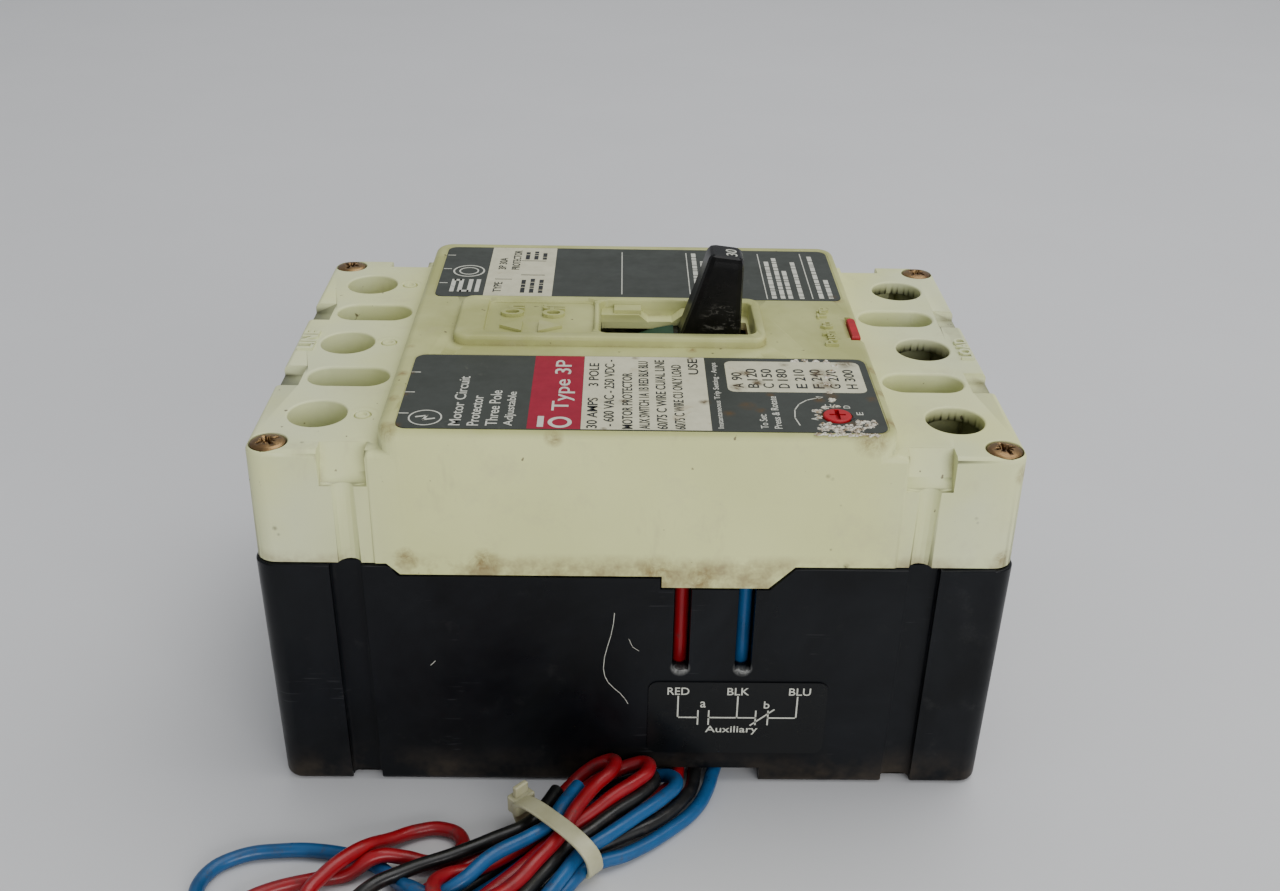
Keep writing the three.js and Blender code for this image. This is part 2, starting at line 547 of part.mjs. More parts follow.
// ---------- current path ----------
function terminals() {
  for (const sx of signs) {
    const end = sx < 0 ? "line" : "load";
    poles.forEach((y, i) => {
      const middle = sx * (LUG.x0 + LUG.x1) / 2;
      const half = (LUG.x1 - LUG.x0) / 2;
      const body = box(middle - half, middle + half, y - LUG.half, y + LUG.half, LUG.z0, LUG.z1);
      const side = STRAP.half + GAP;
      const reach = half + 1;
      const wireWay = box(middle - reach, middle + reach, y - side, y + side, STRAP.z0 - GAP, LUG.holeTop);
      const thread = cylinder(sx * TERMINAL_X, y, LUG.holeTop - 1, LUG.z1 + 1, LUG.screwR + GAP, 16);
      piece(`${end}_lug_${i + 1}`, shaped([body], [wireWay, thread]), steel);
      const shank = cylinder(sx * TERMINAL_X, y, LUG.holeTop + 0.4, LUG.screwTop, LUG.screwR, 16);
      const { slotHalf, slotDepth, screwTop, screwR } = LUG;
      const [x0, x1] = [sx * TERMINAL_X - screwR - 1, sx * TERMINAL_X + screwR + 1];
      const slot = box(x0, x1, y - slotHalf, y + slotHalf, screwTop - slotDepth, screwTop + 1);
      piece(`${end}_lug_screw_${i + 1}`, shaped([shank], [slot]), steel);
    });
  }
}

function lineStraps() {
  poles.forEach((y, i) => {
    const bar = box(-STRAP.outer, -STRAP.inner, y - STRAP.half, y + STRAP.half, STRAP.z0, STRAP.z1);
    const { x0, x1, half, top } = FIXED_CONTACT;
    const pad = box(x0, x1, y - half, y + half, STRAP.z1 - 0.5, top);
    piece(`line_strap_${i + 1}`, shaped([bar, pad]), copper);
  });
}

function loadCoils() {
  poles.forEach((y, i) => {
    const { x, z0, z1, flangeHalf: half, flange: t } = COIL;
    const winding = cylinder(x, y, z0 + t, z1 - t, COIL.r, 24);
    const flanges = [z0, z1 - t].map((z) => box(x - half, x + half, y - half, y + half, z, z + t));
    const strap = box(x + COIL.bore, STRAP.outer, y - STRAP.half, y + STRAP.half, STRAP.z0, STRAP.z1);
    const bore = cylinder(x, y, z0 + 2 * t, z1 + 1, COIL.bore, 16);
    piece(`load_coil_${i + 1}`, shaped([winding, ...flanges, strap], [bore]), copper);
    const rod = cylinder(x, y, ARMATURE.bottom, ARMATURE.top, ARMATURE.r, 16);
    const head = cylinder(x, y, ARMATURE.top - ARMATURE.head, ARMATURE.top, ARMATURE.headR, 16);
    piece(`armature_${i + 1}`, shaped([rod, head]), steel);
  });
}

function arcChutes() {
  poles.forEach((y, i) => {
    const { x0, x1, half, board, z0, z1, first, pitch, plate, inset } = CHUTE;
    const boards = signs.map((s) => box(x0, x1, y + s * half - board, y + s * half + board, z0, z1));
    const plates = [];
    for (let z = first; z < z1; z += pitch) {
      plates.push(box(x0 + inset, x1 - inset, y - half, y + half, z, z + plate));
    }
    piece(`arc_chute_${i + 1}`, shaped([...boards, ...plates]), fibre);
  });
}

// ---------- trip gear ----------
function tripBar() {
  const { x, z, r, half } = TRIP_BAR;
  const rod = barAlongY(x, z, half, r, 12);
  const { reach, half: side, z0, z1 } = PADDLE;
  const paddles = poles.map((y) => box(x - reach, x, y - side, y + side, z0, z1));
  const tab = box(x, TRIP_TAB.x1, -TRIP_TAB.half, TRIP_TAB.half, z - TRIP_TAB.side, z + TRIP_TAB.side);
  piece("trip_bar", shaped([rod, ...paddles, tab]), blackMould);
}

function pushToTrip() {
  const { x0, x1, half, bottom, top, stemHalf, stemBottom } = BUTTON;
  const cap = box(x0, x1, -half, half, bottom, top);
  const stem = box(x0, x1, -stemHalf, stemHalf, stemBottom, top - 1);
  piece("push_to_trip_button", shaped([cap, stem]), redMould);
  const coil = new THREE.Shape();
  coil.absarc(0, 0, BUTTON_SPRING.outer, 0, 2 * Math.PI);
  const hole = new THREE.Path();
  hole.absarc(0, 0, BUTTON_SPRING.inner, 0, 2 * Math.PI);
  coil.holes.push(hole);
  const spring = piece("button_spring", slab(coil, 0, BUTTON_SPRING.height, 3), steel);
  spring.position.set((x0 + x1) / 2, 0, BUTTON_SPRING.z);
}

function tripDial() {
  const { x, y, r, top, shaftR, bottom, headLow } = DIAL;
  const head = cylinder(x, y, headLow, top, r, 24);
  const shaft = cylinder(x, y, bottom, headLow + 1, shaftR, 12);
  const cam = cylinder(x + DIAL_CAM.shift, y, bottom, bottom + DIAL_CAM.height, DIAL_CAM.r, 16);
  const { half, side, depth } = DIAL_SLOT;
  const slot = box(x - side, x + side, y - half, y + half, top - depth, top + 1);
  piece("trip_dial", shaped([head, shaft, cam], [slot]), redMould);
  const ring = cylinder(x, y, COLLAR.z, COLLAR.z + COLLAR.height, COLLAR.r, 16);
  const bore = cylinder(x, y, COLLAR.z - 1, COLLAR.z + COLLAR.height + 1, shaftR + GAP, 12);
  piece("dial_collar", shaped([ring], [bore]), steel);
}

// ---------- auxiliary switch and its leads ----------
function auxiliarySwitch() {
  const { x0, x1, y0, y1, z0, z1, tabHalf: w, tabOut, tabT: t } = AUX;
  const body = box(x0, x1, y0, y1, z0, z1);
  const tabXs = [LEAD.red, LEAD.black, LEAD.blue];
  const tabs = tabXs.map((x) => box(x - w, x + w, y0 - tabOut, y0 + 1, z1 - t, z1 + t));
  piece("auxiliary_switch", shaped([body, ...tabs]), blackMould);
  const lever = AUX_LEVER;
  piece("switch_lever", box(lever.x0, lever.x1, lever.y0, lever.y1, lever.z0, lever.z1), steel);
}

const leadRoutes = {
  red_lead: [
    [LEAD.red, -47.6, 49.9], [LEAD.red, -47.6, 40], [LEAD.red, -47.5, 30], [9.7, -46.3, 20], [9.8, -45.1, 12],
    [9.9, -45.4, 7], [10, -47.8, 2.9], [9.9, -51.4, 1.9], [9.4, -53.8, 1.7],
  ],
  black_lead: [
    [LEAD.black, -47.6, 49.9], [LEAD.black, -47.6, 40], [LEAD.black, -47.5, 30], [15.9, -46.3, 20],
    [15.3, -45.1, 12], [14.9, -45.4, 7], [14.3, -47.8, 2.9], [13.6, -51.4, 1.9], [13.0, -55.4, 1.7],
    [11.6, -60, 1.7],
  ],
  blue_lead: [
    [LEAD.blue, -47.6, 49.9], [LEAD.blue, -47.6, 40], [LEAD.blue, -47.5, 30], [22.2, -46.3, 20], [21.2, -45.1, 12],
    [20.2, -45.4, 7], [18.9, -47.8, 2.9], [17.6, -51.4, 1.9], [16.4, -56, 1.7], [14.6, -61, 1.7], [11.4, -66, 1.7],
    [7, -71, 1.7], [1.6, -76, 1.7],
  ],
};
const leadColours = { red_lead: 0x8c1620, black_lead: 0x17181a, blue_lead: 0x0f6ba8 };

function leads() {
  const sides = 8;
  for (const [name, points] of Object.entries(leadRoutes)) {
    const route = new THREE.CatmullRomCurve3(points.map(([x, y, z]) => new THREE.Vector3(x, y, z)));
    const r = LEAD.d / 2;
    const ring = Array.from({ length: sides }, (_, i) => {
      const turn = (2 * Math.PI * i) / sides;
      return [r * Math.cos(turn), r * Math.sin(turn)];
    });
    const steps = Math.round(route.getLength() / (1.5 * LEAD.d));
    const tube = new THREE.ExtrudeGeometry(polygon(ring), { steps, extrudePath: route, bevelEnabled: false });
    piece(name, tube, finish(leadColours[name], 0.35));
  }
}

function tieBlock(grow, reach) {
  const { half, height, width } = TIE;
  const block = box(-width / 2 - reach, width / 2 + reach, -half - grow, half + grow, -grow, height + grow);
  return block.rotateZ(RUN_TURN).translate(TIE.x, TIE.y, 0);
}

function tieCore(shrink, reach) {
  const { half, height, t, width } = TIE;
  const inset = t + shrink;
  const block = box(-width / 2 - reach, width / 2 + reach, -half + inset, half - inset, inset, height - inset);
  return block.rotateZ(RUN_TURN).translate(TIE.x, TIE.y, 0);
}

function leadHank() {
  const whole = solid(slab(polygon(HANK_EDGE), 0, HANK_TOP));
  const groove = solid(tieBlock(1, GAP)).subtract(solid(tieCore(GAP, 2)));
  piece("lead_hank", fromSolid(whole.subtract(groove)), finish(0x2b3f66, 0.4));
  piece("cable_tie", fromSolid(solid(tieBlock(0, 0)).subtract(solid(tieCore(0, 1)))), nylon);
}

base();
cover();
coverScrews();
labels();
handle();
toggle();
mechanismFrame();
cradle();
crossbar();
shunts();
terminals();
lineStraps();
loadCoils();
arcChutes();
tripBar();
pushToTrip();
tripDial();
auxiliarySwitch();
leads();
leadHank();

export default breaker;
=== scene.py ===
import json
import math

import bmesh
import bpy
from mathutils import Matrix, Vector

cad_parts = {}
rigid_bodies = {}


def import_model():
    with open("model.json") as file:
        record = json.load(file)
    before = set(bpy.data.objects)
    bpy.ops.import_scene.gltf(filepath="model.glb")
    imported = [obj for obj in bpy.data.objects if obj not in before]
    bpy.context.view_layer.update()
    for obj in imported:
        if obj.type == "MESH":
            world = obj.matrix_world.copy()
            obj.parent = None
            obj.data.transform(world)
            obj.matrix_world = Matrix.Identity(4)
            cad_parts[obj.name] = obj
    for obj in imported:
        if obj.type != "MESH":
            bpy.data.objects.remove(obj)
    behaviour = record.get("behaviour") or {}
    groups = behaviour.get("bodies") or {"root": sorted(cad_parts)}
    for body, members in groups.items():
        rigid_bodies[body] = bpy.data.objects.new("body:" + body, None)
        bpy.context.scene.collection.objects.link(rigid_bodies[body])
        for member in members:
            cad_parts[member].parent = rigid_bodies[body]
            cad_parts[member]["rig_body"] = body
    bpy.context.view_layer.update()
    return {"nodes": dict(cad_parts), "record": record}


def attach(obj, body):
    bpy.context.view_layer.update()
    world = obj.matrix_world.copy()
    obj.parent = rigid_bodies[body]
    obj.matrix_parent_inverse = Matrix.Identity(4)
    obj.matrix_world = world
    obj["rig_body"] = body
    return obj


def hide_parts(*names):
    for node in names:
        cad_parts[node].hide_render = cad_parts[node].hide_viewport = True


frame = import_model()
NODES = frame["nodes"]
BODY_OF = {node: obj["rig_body"] for node, obj in NODES.items()}

# ---------------------------------------------------------------- driving dimensions, millimetres
MM = 0.001
WIDTH = 104.8
JOINT_Z = 56.0  # top edge of the black base
SHOULDER_Z = 80.9
BLOCK_Z = 85.9
RIM_Z = 87.9  # top of the handle escutcheon
POLES = (-34.93, 0.0, 34.93)
TERMINAL_X = 64.0
WELL_X = 60.8
WELL_Y = 17.465
SCREW_X = 71.2
SCREW_Y = 47.15
CHANNEL_X = 56.8
LABEL_Z = 85.95
SIGNS = (-1, 1)
LEAD_SLOT_X = (9.6, 22.6)
DIAL_X = 38.6
DIAL_Y = -43.7
BELOW = 80  # a height under every cut in the block's top
ABOVE = 90  # a height over the whole cover

CAMERA_TARGET = (1.536, 0.0, 40.0)
CAMERA_DISTANCE = 325.958
CAMERA_AZIMUTH = -1.101
CAMERA_ELEVATION = 30.43
CAMERA_ROLL = 1.147
CAMERA_LENS = 38.56
CAMERA_SHIFT = 0.0458


def link(obj):
    bpy.context.scene.collection.objects.link(obj)
    return obj


# ---------------------------------------------------------------- camera
def add_camera():
    turn = math.radians(CAMERA_AZIMUTH)
    tilt = math.radians(CAMERA_ELEVATION)
    roll = math.radians(CAMERA_ROLL)
    ahead = Vector((-math.sin(turn) * math.cos(tilt), math.cos(turn) * math.cos(tilt), -math.sin(tilt)))
    level = Vector((math.cos(turn), math.sin(turn), 0))
    above = level.cross(ahead)
    right = level * math.cos(roll) + above * math.sin(roll)
    up = above * math.cos(roll) - level * math.sin(roll)
    data = bpy.data.cameras.new("camera")
    data.sensor_width = 36
    data.lens = CAMERA_LENS
    data.shift_y = CAMERA_SHIFT
    camera = link(bpy.data.objects.new("camera", data))
    axes = Matrix((right, up, -ahead)).transposed().to_4x4()
    axes.translation = (Vector(CAMERA_TARGET) - ahead * CAMERA_DISTANCE) * MM
    camera.matrix_world = axes
    bpy.context.scene.camera = camera


# ---------------------------------------------------------------- materials
class Surface:
    """One node material, wired with a few short calls. Texture space is the frame's own metres."""

    def __init__(self, name, rough=0.5, metal=0.0, shine=0.5):
        self.material = bpy.data.materials.new(name)
        self.material.use_nodes = True
        self.tree = self.material.node_tree
        self.shader = self.tree.nodes["Principled BSDF"]
        self.shader.inputs["Roughness"].default_value = rough
        self.shader.inputs["Metallic"].default_value = metal
        self.shader.inputs["Specular IOR Level"].default_value = shine
        self.place = self.add("ShaderNodeTexCoord").outputs["Object"]

    def add(self, kind, **settings):
        node = self.tree.nodes.new(kind)
        for key, value in settings.items():
            setattr(node, key, value)
        return node

    def join(self, source, socket):
        if hasattr(source, "links"):
            self.tree.links.new(source, socket)
        elif isinstance(source, (tuple, list)) and len(source) == 3 and socket.type == "RGBA":
            socket.default_value = (*source, 1)
        else:
            socket.default_value = source

    def stretched(self, scale):
        node = self.add("ShaderNodeMapping")
        self.join(self.place, node.inputs["Vector"])
        node.inputs["Scale"].default_value = scale
        return node.outputs["Vector"]

    def noise(self, scale, detail=3.0, rough=0.55, place=None, distortion=0.0):
        node = self.add("ShaderNodeTexNoise")
        self.join(place or self.place, node.inputs["Vector"])
        node.inputs["Scale"].default_value = scale
        node.inputs["Detail"].default_value = detail
        node.inputs["Roughness"].default_value = rough
        node.inputs["Distortion"].default_value = distortion
        return node.outputs["Fac"]

    def wave(self, scale, distortion=0.0, axis="Z"):
        node = self.add("ShaderNodeTexWave", bands_direction=axis)
        self.join(self.place, node.inputs["Vector"])
        node.inputs["Scale"].default_value = scale
        node.inputs["Distortion"].default_value = distortion
        return node.outputs["Fac"]

    def span(self, value, low, high, start=0.0, end=1.0):
        node = self.add("ShaderNodeMapRange")
        self.join(value, node.inputs["Value"])
        for key, number in zip(("From Min", "From Max", "To Min", "To Max"), (low, high, start, end)):
            node.inputs[key].default_value = number
        return node.outputs["Result"]

    def mix(self, factor, first, second):
        node = self.add("ShaderNodeMix", data_type="RGBA")
        self.join(factor, node.inputs[0])
        self.join(first, node.inputs[6])
        self.join(second, node.inputs[7])
        return node.outputs[2]

    def sum(self, operation, first, second):
        node = self.add("ShaderNodeMath", operation=operation)
        self.join(first, node.inputs[0])
        self.join(second, node.inputs[1])
        return node.outputs[0]

    def axis(self, name):
        node = self.add("ShaderNodeSeparateXYZ")
        self.join(self.place, node.inputs[0])
        return node.outputs[name]

    # Painted shade: one minus ambient occlusion, strongest in corners and creases.
    def crevice_shade(self, reach, samples=6):
        node = self.add("ShaderNodeAmbientOcclusion", samples=samples, only_local=True)
        node.inputs["Distance"].default_value = reach * MM
        return self.sum("SUBTRACT", 1.0, node.outputs["AO"])

    def spot(self, x, y, z, radius, soft=0.5):
        """One round patch about a point: 1 inside, 0 outside."""
        node = self.add("ShaderNodeVectorMath", operation="DISTANCE")
        self.join(self.place, node.inputs[0])
        node.inputs[1].default_value = (x * MM, y * MM, z * MM)
        return self.span(node.outputs["Value"], radius * MM, radius * MM * soft)

    def stain(self, body, colour, amount, *spots):
        """Ragged patches of one colour about the given points (x, y, z, radius)."""
        ragged = self.span(self.noise(420, 5, 0.75, distortion=0.8), 0.40, 0.60, 0.25, 1.0)
        for place in spots:
            factor = self.sum("MULTIPLY", self.spot(*place, 0.25), ragged)
            body = self.mix(self.sum("MULTIPLY", factor, amount), body, colour)
        return body

    def colour(self, source):
        self.join(source, self.shader.inputs["Base Color"])
        return self

    def rough(self, source):
        self.join(source, self.shader.inputs["Roughness"])
        return self

    def bump(self, height, depth, strength=1.0):
        node = self.add("ShaderNodeBump")
        node.inputs["Strength"].default_value = strength
        node.inputs["Distance"].default_value = depth * MM
        self.join(height, node.inputs["Height"])
        self.join(node.outputs["Normal"], self.shader.inputs["Normal"])
        return self


COVER_STAINS = (  # x, y, z, radius
    (-47.6, -50.0, 85.0, 2.6), (-48.2, -38.0, 85.6, 1.8), (-48.0, -26.5, 85.7, 1.6),
    (-48.0, -13.0, 85.7, 1.2),
    (44.5, -51.2, 84.8, 4.2), (48.6, -46.0, 85.2, 2.4), (49.0, -33.0, 85.4, 2.0), (48.8, -22.0, 85.5, 2.2),
    (11.6, -13.4, 86.0, 1.6), (28.0, -10.5, 87.4, 1.5), (-16.0, -51.5, 84.6, 2.2), (46.5, 15.5, 85.8, 1.8),
    (4.0, -52.4, 54.0, 5.5), (13.0, -52.4, 53.0, 4.5), (-30.0, -52.3, 56.5, 4.0), (-45.5, -52.3, 57.5, 3.0),
    (74.8, -50.0, 77.0, 2.6), (73.2, -51.6, 58.5, 2.4), (-60.0, -52.0, 79.5, 2.0), (49.0, 2.0, 85.2, 1.6),
)
COVER_SPECKS = (
    (36.6, -52.2, 77.0, 0.8), (37.5, -52.2, 76.4, 0.7), (37.2, -52.2, 75.6, 0.5), (39.6, -52.2, 70.6, 0.5),
    (27.6, -52.2, 76.8, 0.5), (-70.8, -51.9, 64.0, 0.7), (-70.2, -51.9, 62.6, 0.5), (41.9, -52.2, 56.6, 0.9),
    (66.5, -51.9, 67.8, 0.6), (66.9, -51.9, 66.8, 0.5), (38.5, -52.2, 60.5, 0.4), (-72.5, -51.9, 79.0, 0.6),
    (-64.5, -47.5, 80.9, 0.5), (16.0, -14.8, 85.9, 0.4), (60.4, -48.0, 80.9, 0.5), (-52.6, -50.0, 80.9, 0.6),
)


def cream_ground(s):
    """Warm cream, cooler towards the ends, darker where the top is handled."""
    broad = s.noise(22, 4)
    warm = s.mix(s.span(broad, 0.35, 0.68), (0.665, 0.685, 0.305), (0.74, 0.755, 0.355))
    cool = s.mix(s.span(broad, 0.35, 0.68), (0.63, 0.66, 0.39), (0.705, 0.73, 0.45))
    ends = s.span(s.sum("ABSOLUTE", s.axis("X"), 0.0), 0.044, 0.066)
    blotch = s.sum("MULTIPLY", ends, s.span(s.noise(30, 3), 0.3, 0.6))
    body = s.mix(blotch, warm, cool)
    block_top = s.span(s.axis("Z"), (BLOCK_Z - 1.7) * MM, (BLOCK_Z - 0.1) * MM)
    handled = s.sum("MULTIPLY", block_top, s.span(s.noise(48, 4), 0.3, 0.6, 0.55, 1.0))
    return s.mix(handled, body, (0.37, 0.38, 0.135))


def cream_wear(s, body):
    """Painted shade in the corners and creases from an ambient occlusion mask, broken up by grime noise;
    grime along the joint, specks, stains and smears.
    """
    body = s.mix(s.span(s.noise(70, 5, 0.7), 0.55, 0.78, 0, 0.35), body, (0.46, 0.42, 0.27))
    # Painted shade in corners and creases (ambient occlusion), mixed with grime noise and darkened to brown.
    grime_and_painted_shade = s.sum("MULTIPLY", s.span(s.crevice_shade(3.2), 0.25, 0.75), s.span(s.noise(160, 5, 0.65), 0.36, 0.62))
    body = s.mix(s.sum("MULTIPLY", grime_and_painted_shade, 0.75), body, (0.20, 0.145, 0.075))
    seam = s.sum("MULTIPLY", s.span(s.axis("Z"), 0.0592, 0.0562), s.span(s.noise(120, 4, 0.7), 0.42, 0.66))
    body = s.mix(s.sum("MULTIPLY", seam, 0.7), body, (0.23, 0.15, 0.075))
    specks = s.span(s.noise(520, 2, 0.5), 0.735, 0.765)
    body = s.mix(s.sum("MULTIPLY", specks, 0.8), body, (0.09, 0.06, 0.035))
    body = s.stain(body, (0.22, 0.14, 0.05), 0.85, *COVER_STAINS)
    body = s.stain(body, (0.045, 0.03, 0.02), 0.95, *COVER_SPECKS)
    smear = s.sum("MULTIPLY", s.span(s.noise(46, 5, 0.75, s.stretched((1, 1, 0.35))), 0.6, 0.75), 0.4)
    return s.mix(smear, body, (0.36, 0.31, 0.19))


def cream_moulding():
    s = Surface("cream_moulding", rough=0.45, shine=0.35)
    s.colour(cream_wear(s, cream_ground(s)))
    s.rough(s.span(s.noise(90, 4), 0.3, 0.7, 0.36, 0.58))
    return s.bump(s.noise(1500, 3), 0.05, 0.35).material


def black_moulding():
    s = Surface("black_moulding", rough=0.3, shine=0.18)
    smudge = s.span(s.noise(26, 5, 0.65, distortion=0.6), 0.42, 0.72)
    body = s.mix(smudge, (0.0022, 0.0026, 0.0034), (0.0075, 0.0085, 0.0105))
    dust = s.sum("MULTIPLY", s.span(s.noise(110, 6, 0.75), 0.60, 0.8), 0.35)
    body = s.mix(dust, body, (0.04, 0.04, 0.038))
    scratches = s.noise(40, 2, 0.5, s.stretched((3, 3, 60)))
    fine = s.span(s.sum("MULTIPLY", scratches, s.noise(60, 3)), 0.42, 0.46, 0, 0.25)
    body = s.mix(fine, body, (0.07, 0.07, 0.075))
    lips = [(x, -52.3, 31.2, 2.2) for x in LEAD_SLOT_X]
    body = s.stain(body, (0.42, 0.42, 0.40), 0.9, *lips)
    low = s.sum("MULTIPLY", s.span(s.axis("Z"), 0.010, 0.0), s.span(s.noise(70, 4, 0.7), 0.4, 0.7))
    body = s.mix(s.sum("MULTIPLY", low, 0.5), body, (0.10, 0.075, 0.05))
    s.colour(body)
    s.rough(s.span(s.noise(34, 5, 0.7, distortion=0.8), 0.3, 0.7, 0.24, 0.50))
    return s.bump(s.noise(700, 3), 0.05, 0.25).material


def plain_moulding(name, colour, other, rough=0.4, grain=400):
    s = Surface(name, rough=rough, shine=0.3)
    s.colour(s.mix(s.span(s.noise(grain, 4, 0.7), 0.4, 0.7), colour, other))
    s.rough(s.span(s.noise(grain / 3, 3), 0.3, 0.7, rough - 0.1, rough + 0.12))
    return s.bump(s.noise(grain * 3, 2), 0.04, 0.3).material


def handle_black():
    """Glossy black, scuffed grey near its foot."""
    s = Surface("handle_black", rough=0.26, shine=0.16)
    body = s.mix(s.span(s.noise(260, 4, 0.7), 0.4, 0.7), (0.0022, 0.0022, 0.0022), (0.006, 0.0055, 0.005))
    scuffs = s.span(s.noise(240, 6, 0.8, s.stretched((1, 1, 2.5)), 1.5), 0.54, 0.60)
    foot = s.spot(18.5, -4.5, 88.5, 5.5, 0.3)
    s.colour(s.mix(s.sum("MULTIPLY", scuffs, foot), body, (0.10, 0.095, 0.085)))
    s.rough(s.span(s.noise(70, 4), 0.3, 0.7, 0.18, 0.42))
    return s.bump(s.noise(420, 4), 0.05, 0.4).material


def metal(name, colour, tarnish, rough=0.3, brushed=(60, 60, 4)):
    s = Surface(name, rough=rough, metal=1.0)
    grain = s.noise(90, 4, 0.6, s.stretched(brushed))
    body = s.mix(s.span(s.noise(180, 5, 0.7), 0.45, 0.75), colour, tarnish)
    s.colour(body)
    s.rough(s.span(grain, 0.3, 0.7, rough - 0.08, rough + 0.16))
    return s.bump(grain, 0.03, 0.4).material


def arc_fibre():
    s = Surface("arc_fibre", rough=0.8)
    weave = s.sum("ADD", s.wave(700, 1, "Y"), s.wave(700, 1, "Z"))
    body = s.mix(s.span(s.noise(300, 5), 0.35, 0.7), (0.24, 0.10, 0.05), (0.38, 0.19, 0.10))
    s.colour(s.mix(s.span(s.noise(60, 4), 0.55, 0.75), body, (0.05, 0.04, 0.04)))
    return s.bump(weave, 0.06, 0.5).material


def wire_skin(name, colour, worn, rough=0.3):
    s = Surface(name, rough=rough, shine=0.35)
    body = s.mix(s.span(s.noise(120, 4, 0.7), 0.4, 0.75), colour, worn)
    dirt = s.span(s.noise(260, 5, 0.75), 0.56, 0.72, 0, 0.6)
    body = s.mix(dirt, body, (0.05, 0.04, 0.035))
    s.colour(body)
    s.rough(s.span(s.noise(200, 4), 0.3, 0.7, rough - 0.05, rough + 0.22))
    s.shader.inputs["Coat Weight"].default_value = 0.15
    return s.bump(s.noise(500, 3), 0.06, 0.3).material


LABEL_TOP = 85.9
LABEL_STAINS = (  # x, y, radius
    (11.4, -17.6, 1.2), (13.2, -38.2, 1.5), (-0.3, -17.6, 1.0), (-6.6, -50.0, 0.8), (17.6, -43.0, 1.6),
    (21.5, -39.5, 2.2), (24.0, -41.5, 1.5), (20.2, -31.4, 2.2), (24.4, -29.0, 1.8), (37.9, -29.5, 3.0),
    (37.4, -24.0, 2.4), (43.5, -19.6, 2.6), (22.0, -24.5, 1.6), (38.6, -34.5, 2.0), (30.5, -20.0, 1.3),
    (-3.0, -38.0, 1.0), (-45.9, -49.2, 1.4), (-46.0, -36.0, 0.9), (-45.9, -26.0, 0.9), (46.6, -36.0, 1.6),
    (36.0, -36.5, 1.6), (40.8, -46.8, 1.6), (45.8, 18.0, 1.4), (26.5, -34.4, 1.2),
)


def label_ink(name, colour, worn, wear=(0.60, 0.72), amount=0.5, rough=0.42):
    s = Surface(name, rough=rough, shine=0.25)
    mottled = s.mix(s.span(s.noise(240, 5, 0.7), 0.35, 0.7), colour, [c * 0.82 for c in colour])
    rubbed = s.span(s.noise(150, 6, 0.78, distortion=0.5), wear[0], wear[1], 0, amount)
    stains = [(x, y, LABEL_TOP, r) for x, y, r in LABEL_STAINS]
    s.colour(s.stain(s.mix(rubbed, mottled, worn), (0.085, 0.05, 0.016), 0.95, *stains))
    s.rough(s.span(s.noise(120, 4), 0.3, 0.7, rough - 0.1, rough + 0.15))
    return s.bump(s.noise(900, 3), 0.03, 0.3).material


def nylon():
    s = Surface("nylon", rough=0.35)
    s.colour(s.mix(s.span(s.noise(150, 4), 0.35, 0.7), (0.36, 0.345, 0.21), (0.46, 0.445, 0.29)))
    s.shader.inputs["Subsurface Weight"].default_value = 0.25
    s.shader.inputs["Subsurface Radius"].default_value = (0.002, 0.002, 0.0014)
    s.shader.inputs["Subsurface Scale"].default_value = 1.0
    return s.bump(s.noise(700, 3), 0.04, 0.3).material


def crust():
    s = Surface("white_crust", rough=0.75)
    s.colour(s.mix(s.span(s.noise(900, 5, 0.7), 0.42, 0.6), (0.72, 0.70, 0.60), (0.33, 0.24, 0.14)))
    return s.bump(s.noise(1800, 4), 0.15, 0.8).material


MATERIALS = {
    "cream_moulding": cream_moulding(),
    "black_moulding": black_moulding(),
    "handle_black": handle_black(),
    "red_moulding": plain_moulding("red_moulding", (0.42, 0.006, 0.014), (0.30, 0.006, 0.010), 0.4),
    "screw_brass": metal("screw_brass", (0.27, 0.17, 0.075), (0.12, 0.065, 0.035), 0.36, (40, 40, 40)),
    "steel": metal("steel", (0.56, 0.56, 0.55), (0.36, 0.35, 0.33), 0.34),
    "spring_steel": metal("spring_steel", (0.46, 0.46, 0.47), (0.25, 0.24, 0.23), 0.28),
    "plated_lug": metal("plated_lug", (0.62, 0.62, 0.60), (0.42, 0.41, 0.38), 0.28),
    "copper": metal("copper", (0.72, 0.34, 0.20), (0.36, 0.17, 0.10), 0.3),
    "arc_fibre": arc_fibre(),
    "red_wire": wire_skin("red_wire", (0.30, 0.004, 0.010), (0.19, 0.004, 0.008)),
    "black_wire": wire_skin("black_wire", (0.006, 0.006, 0.006), (0.016, 0.016, 0.016)),
    "blue_wire": wire_skin("blue_wire", (0.006, 0.085, 0.235), (0.006, 0.055, 0.15)),
    "nylon": nylon(),
    "flag_strip": plain_moulding("flag_strip", (0.008, 0.045, 0.022), (0.014, 0.07, 0.034), 0.45),
    "label_grey": label_ink("label_grey", (0.042, 0.048, 0.040), (0.12, 0.125, 0.10), (0.62, 0.74), 0.5),
    "label_cream": label_ink("label_cream", (0.62, 0.60, 0.43), (0.36, 0.27, 0.14), (0.60, 0.74), 0.7),
    "label_red": label_ink("label_red", (0.31, 0.004, 0.026), (0.17, 0.012, 0.02), (0.64, 0.76), 0.5),
    "label_black": label_ink("label_black", (0.004, 0.0045, 0.005), (0.02, 0.02, 0.02), rough=0.3),
    "ink_pale": label_ink("ink_pale", (0.60, 0.60, 0.52), (0.20, 0.21, 0.19), (0.58, 0.70), 0.8),
    "ink_dark": label_ink("ink_dark", (0.020, 0.022, 0.022), (0.30, 0.27, 0.20), (0.60, 0.72), 0.6),
    "white_crust": crust(),
}


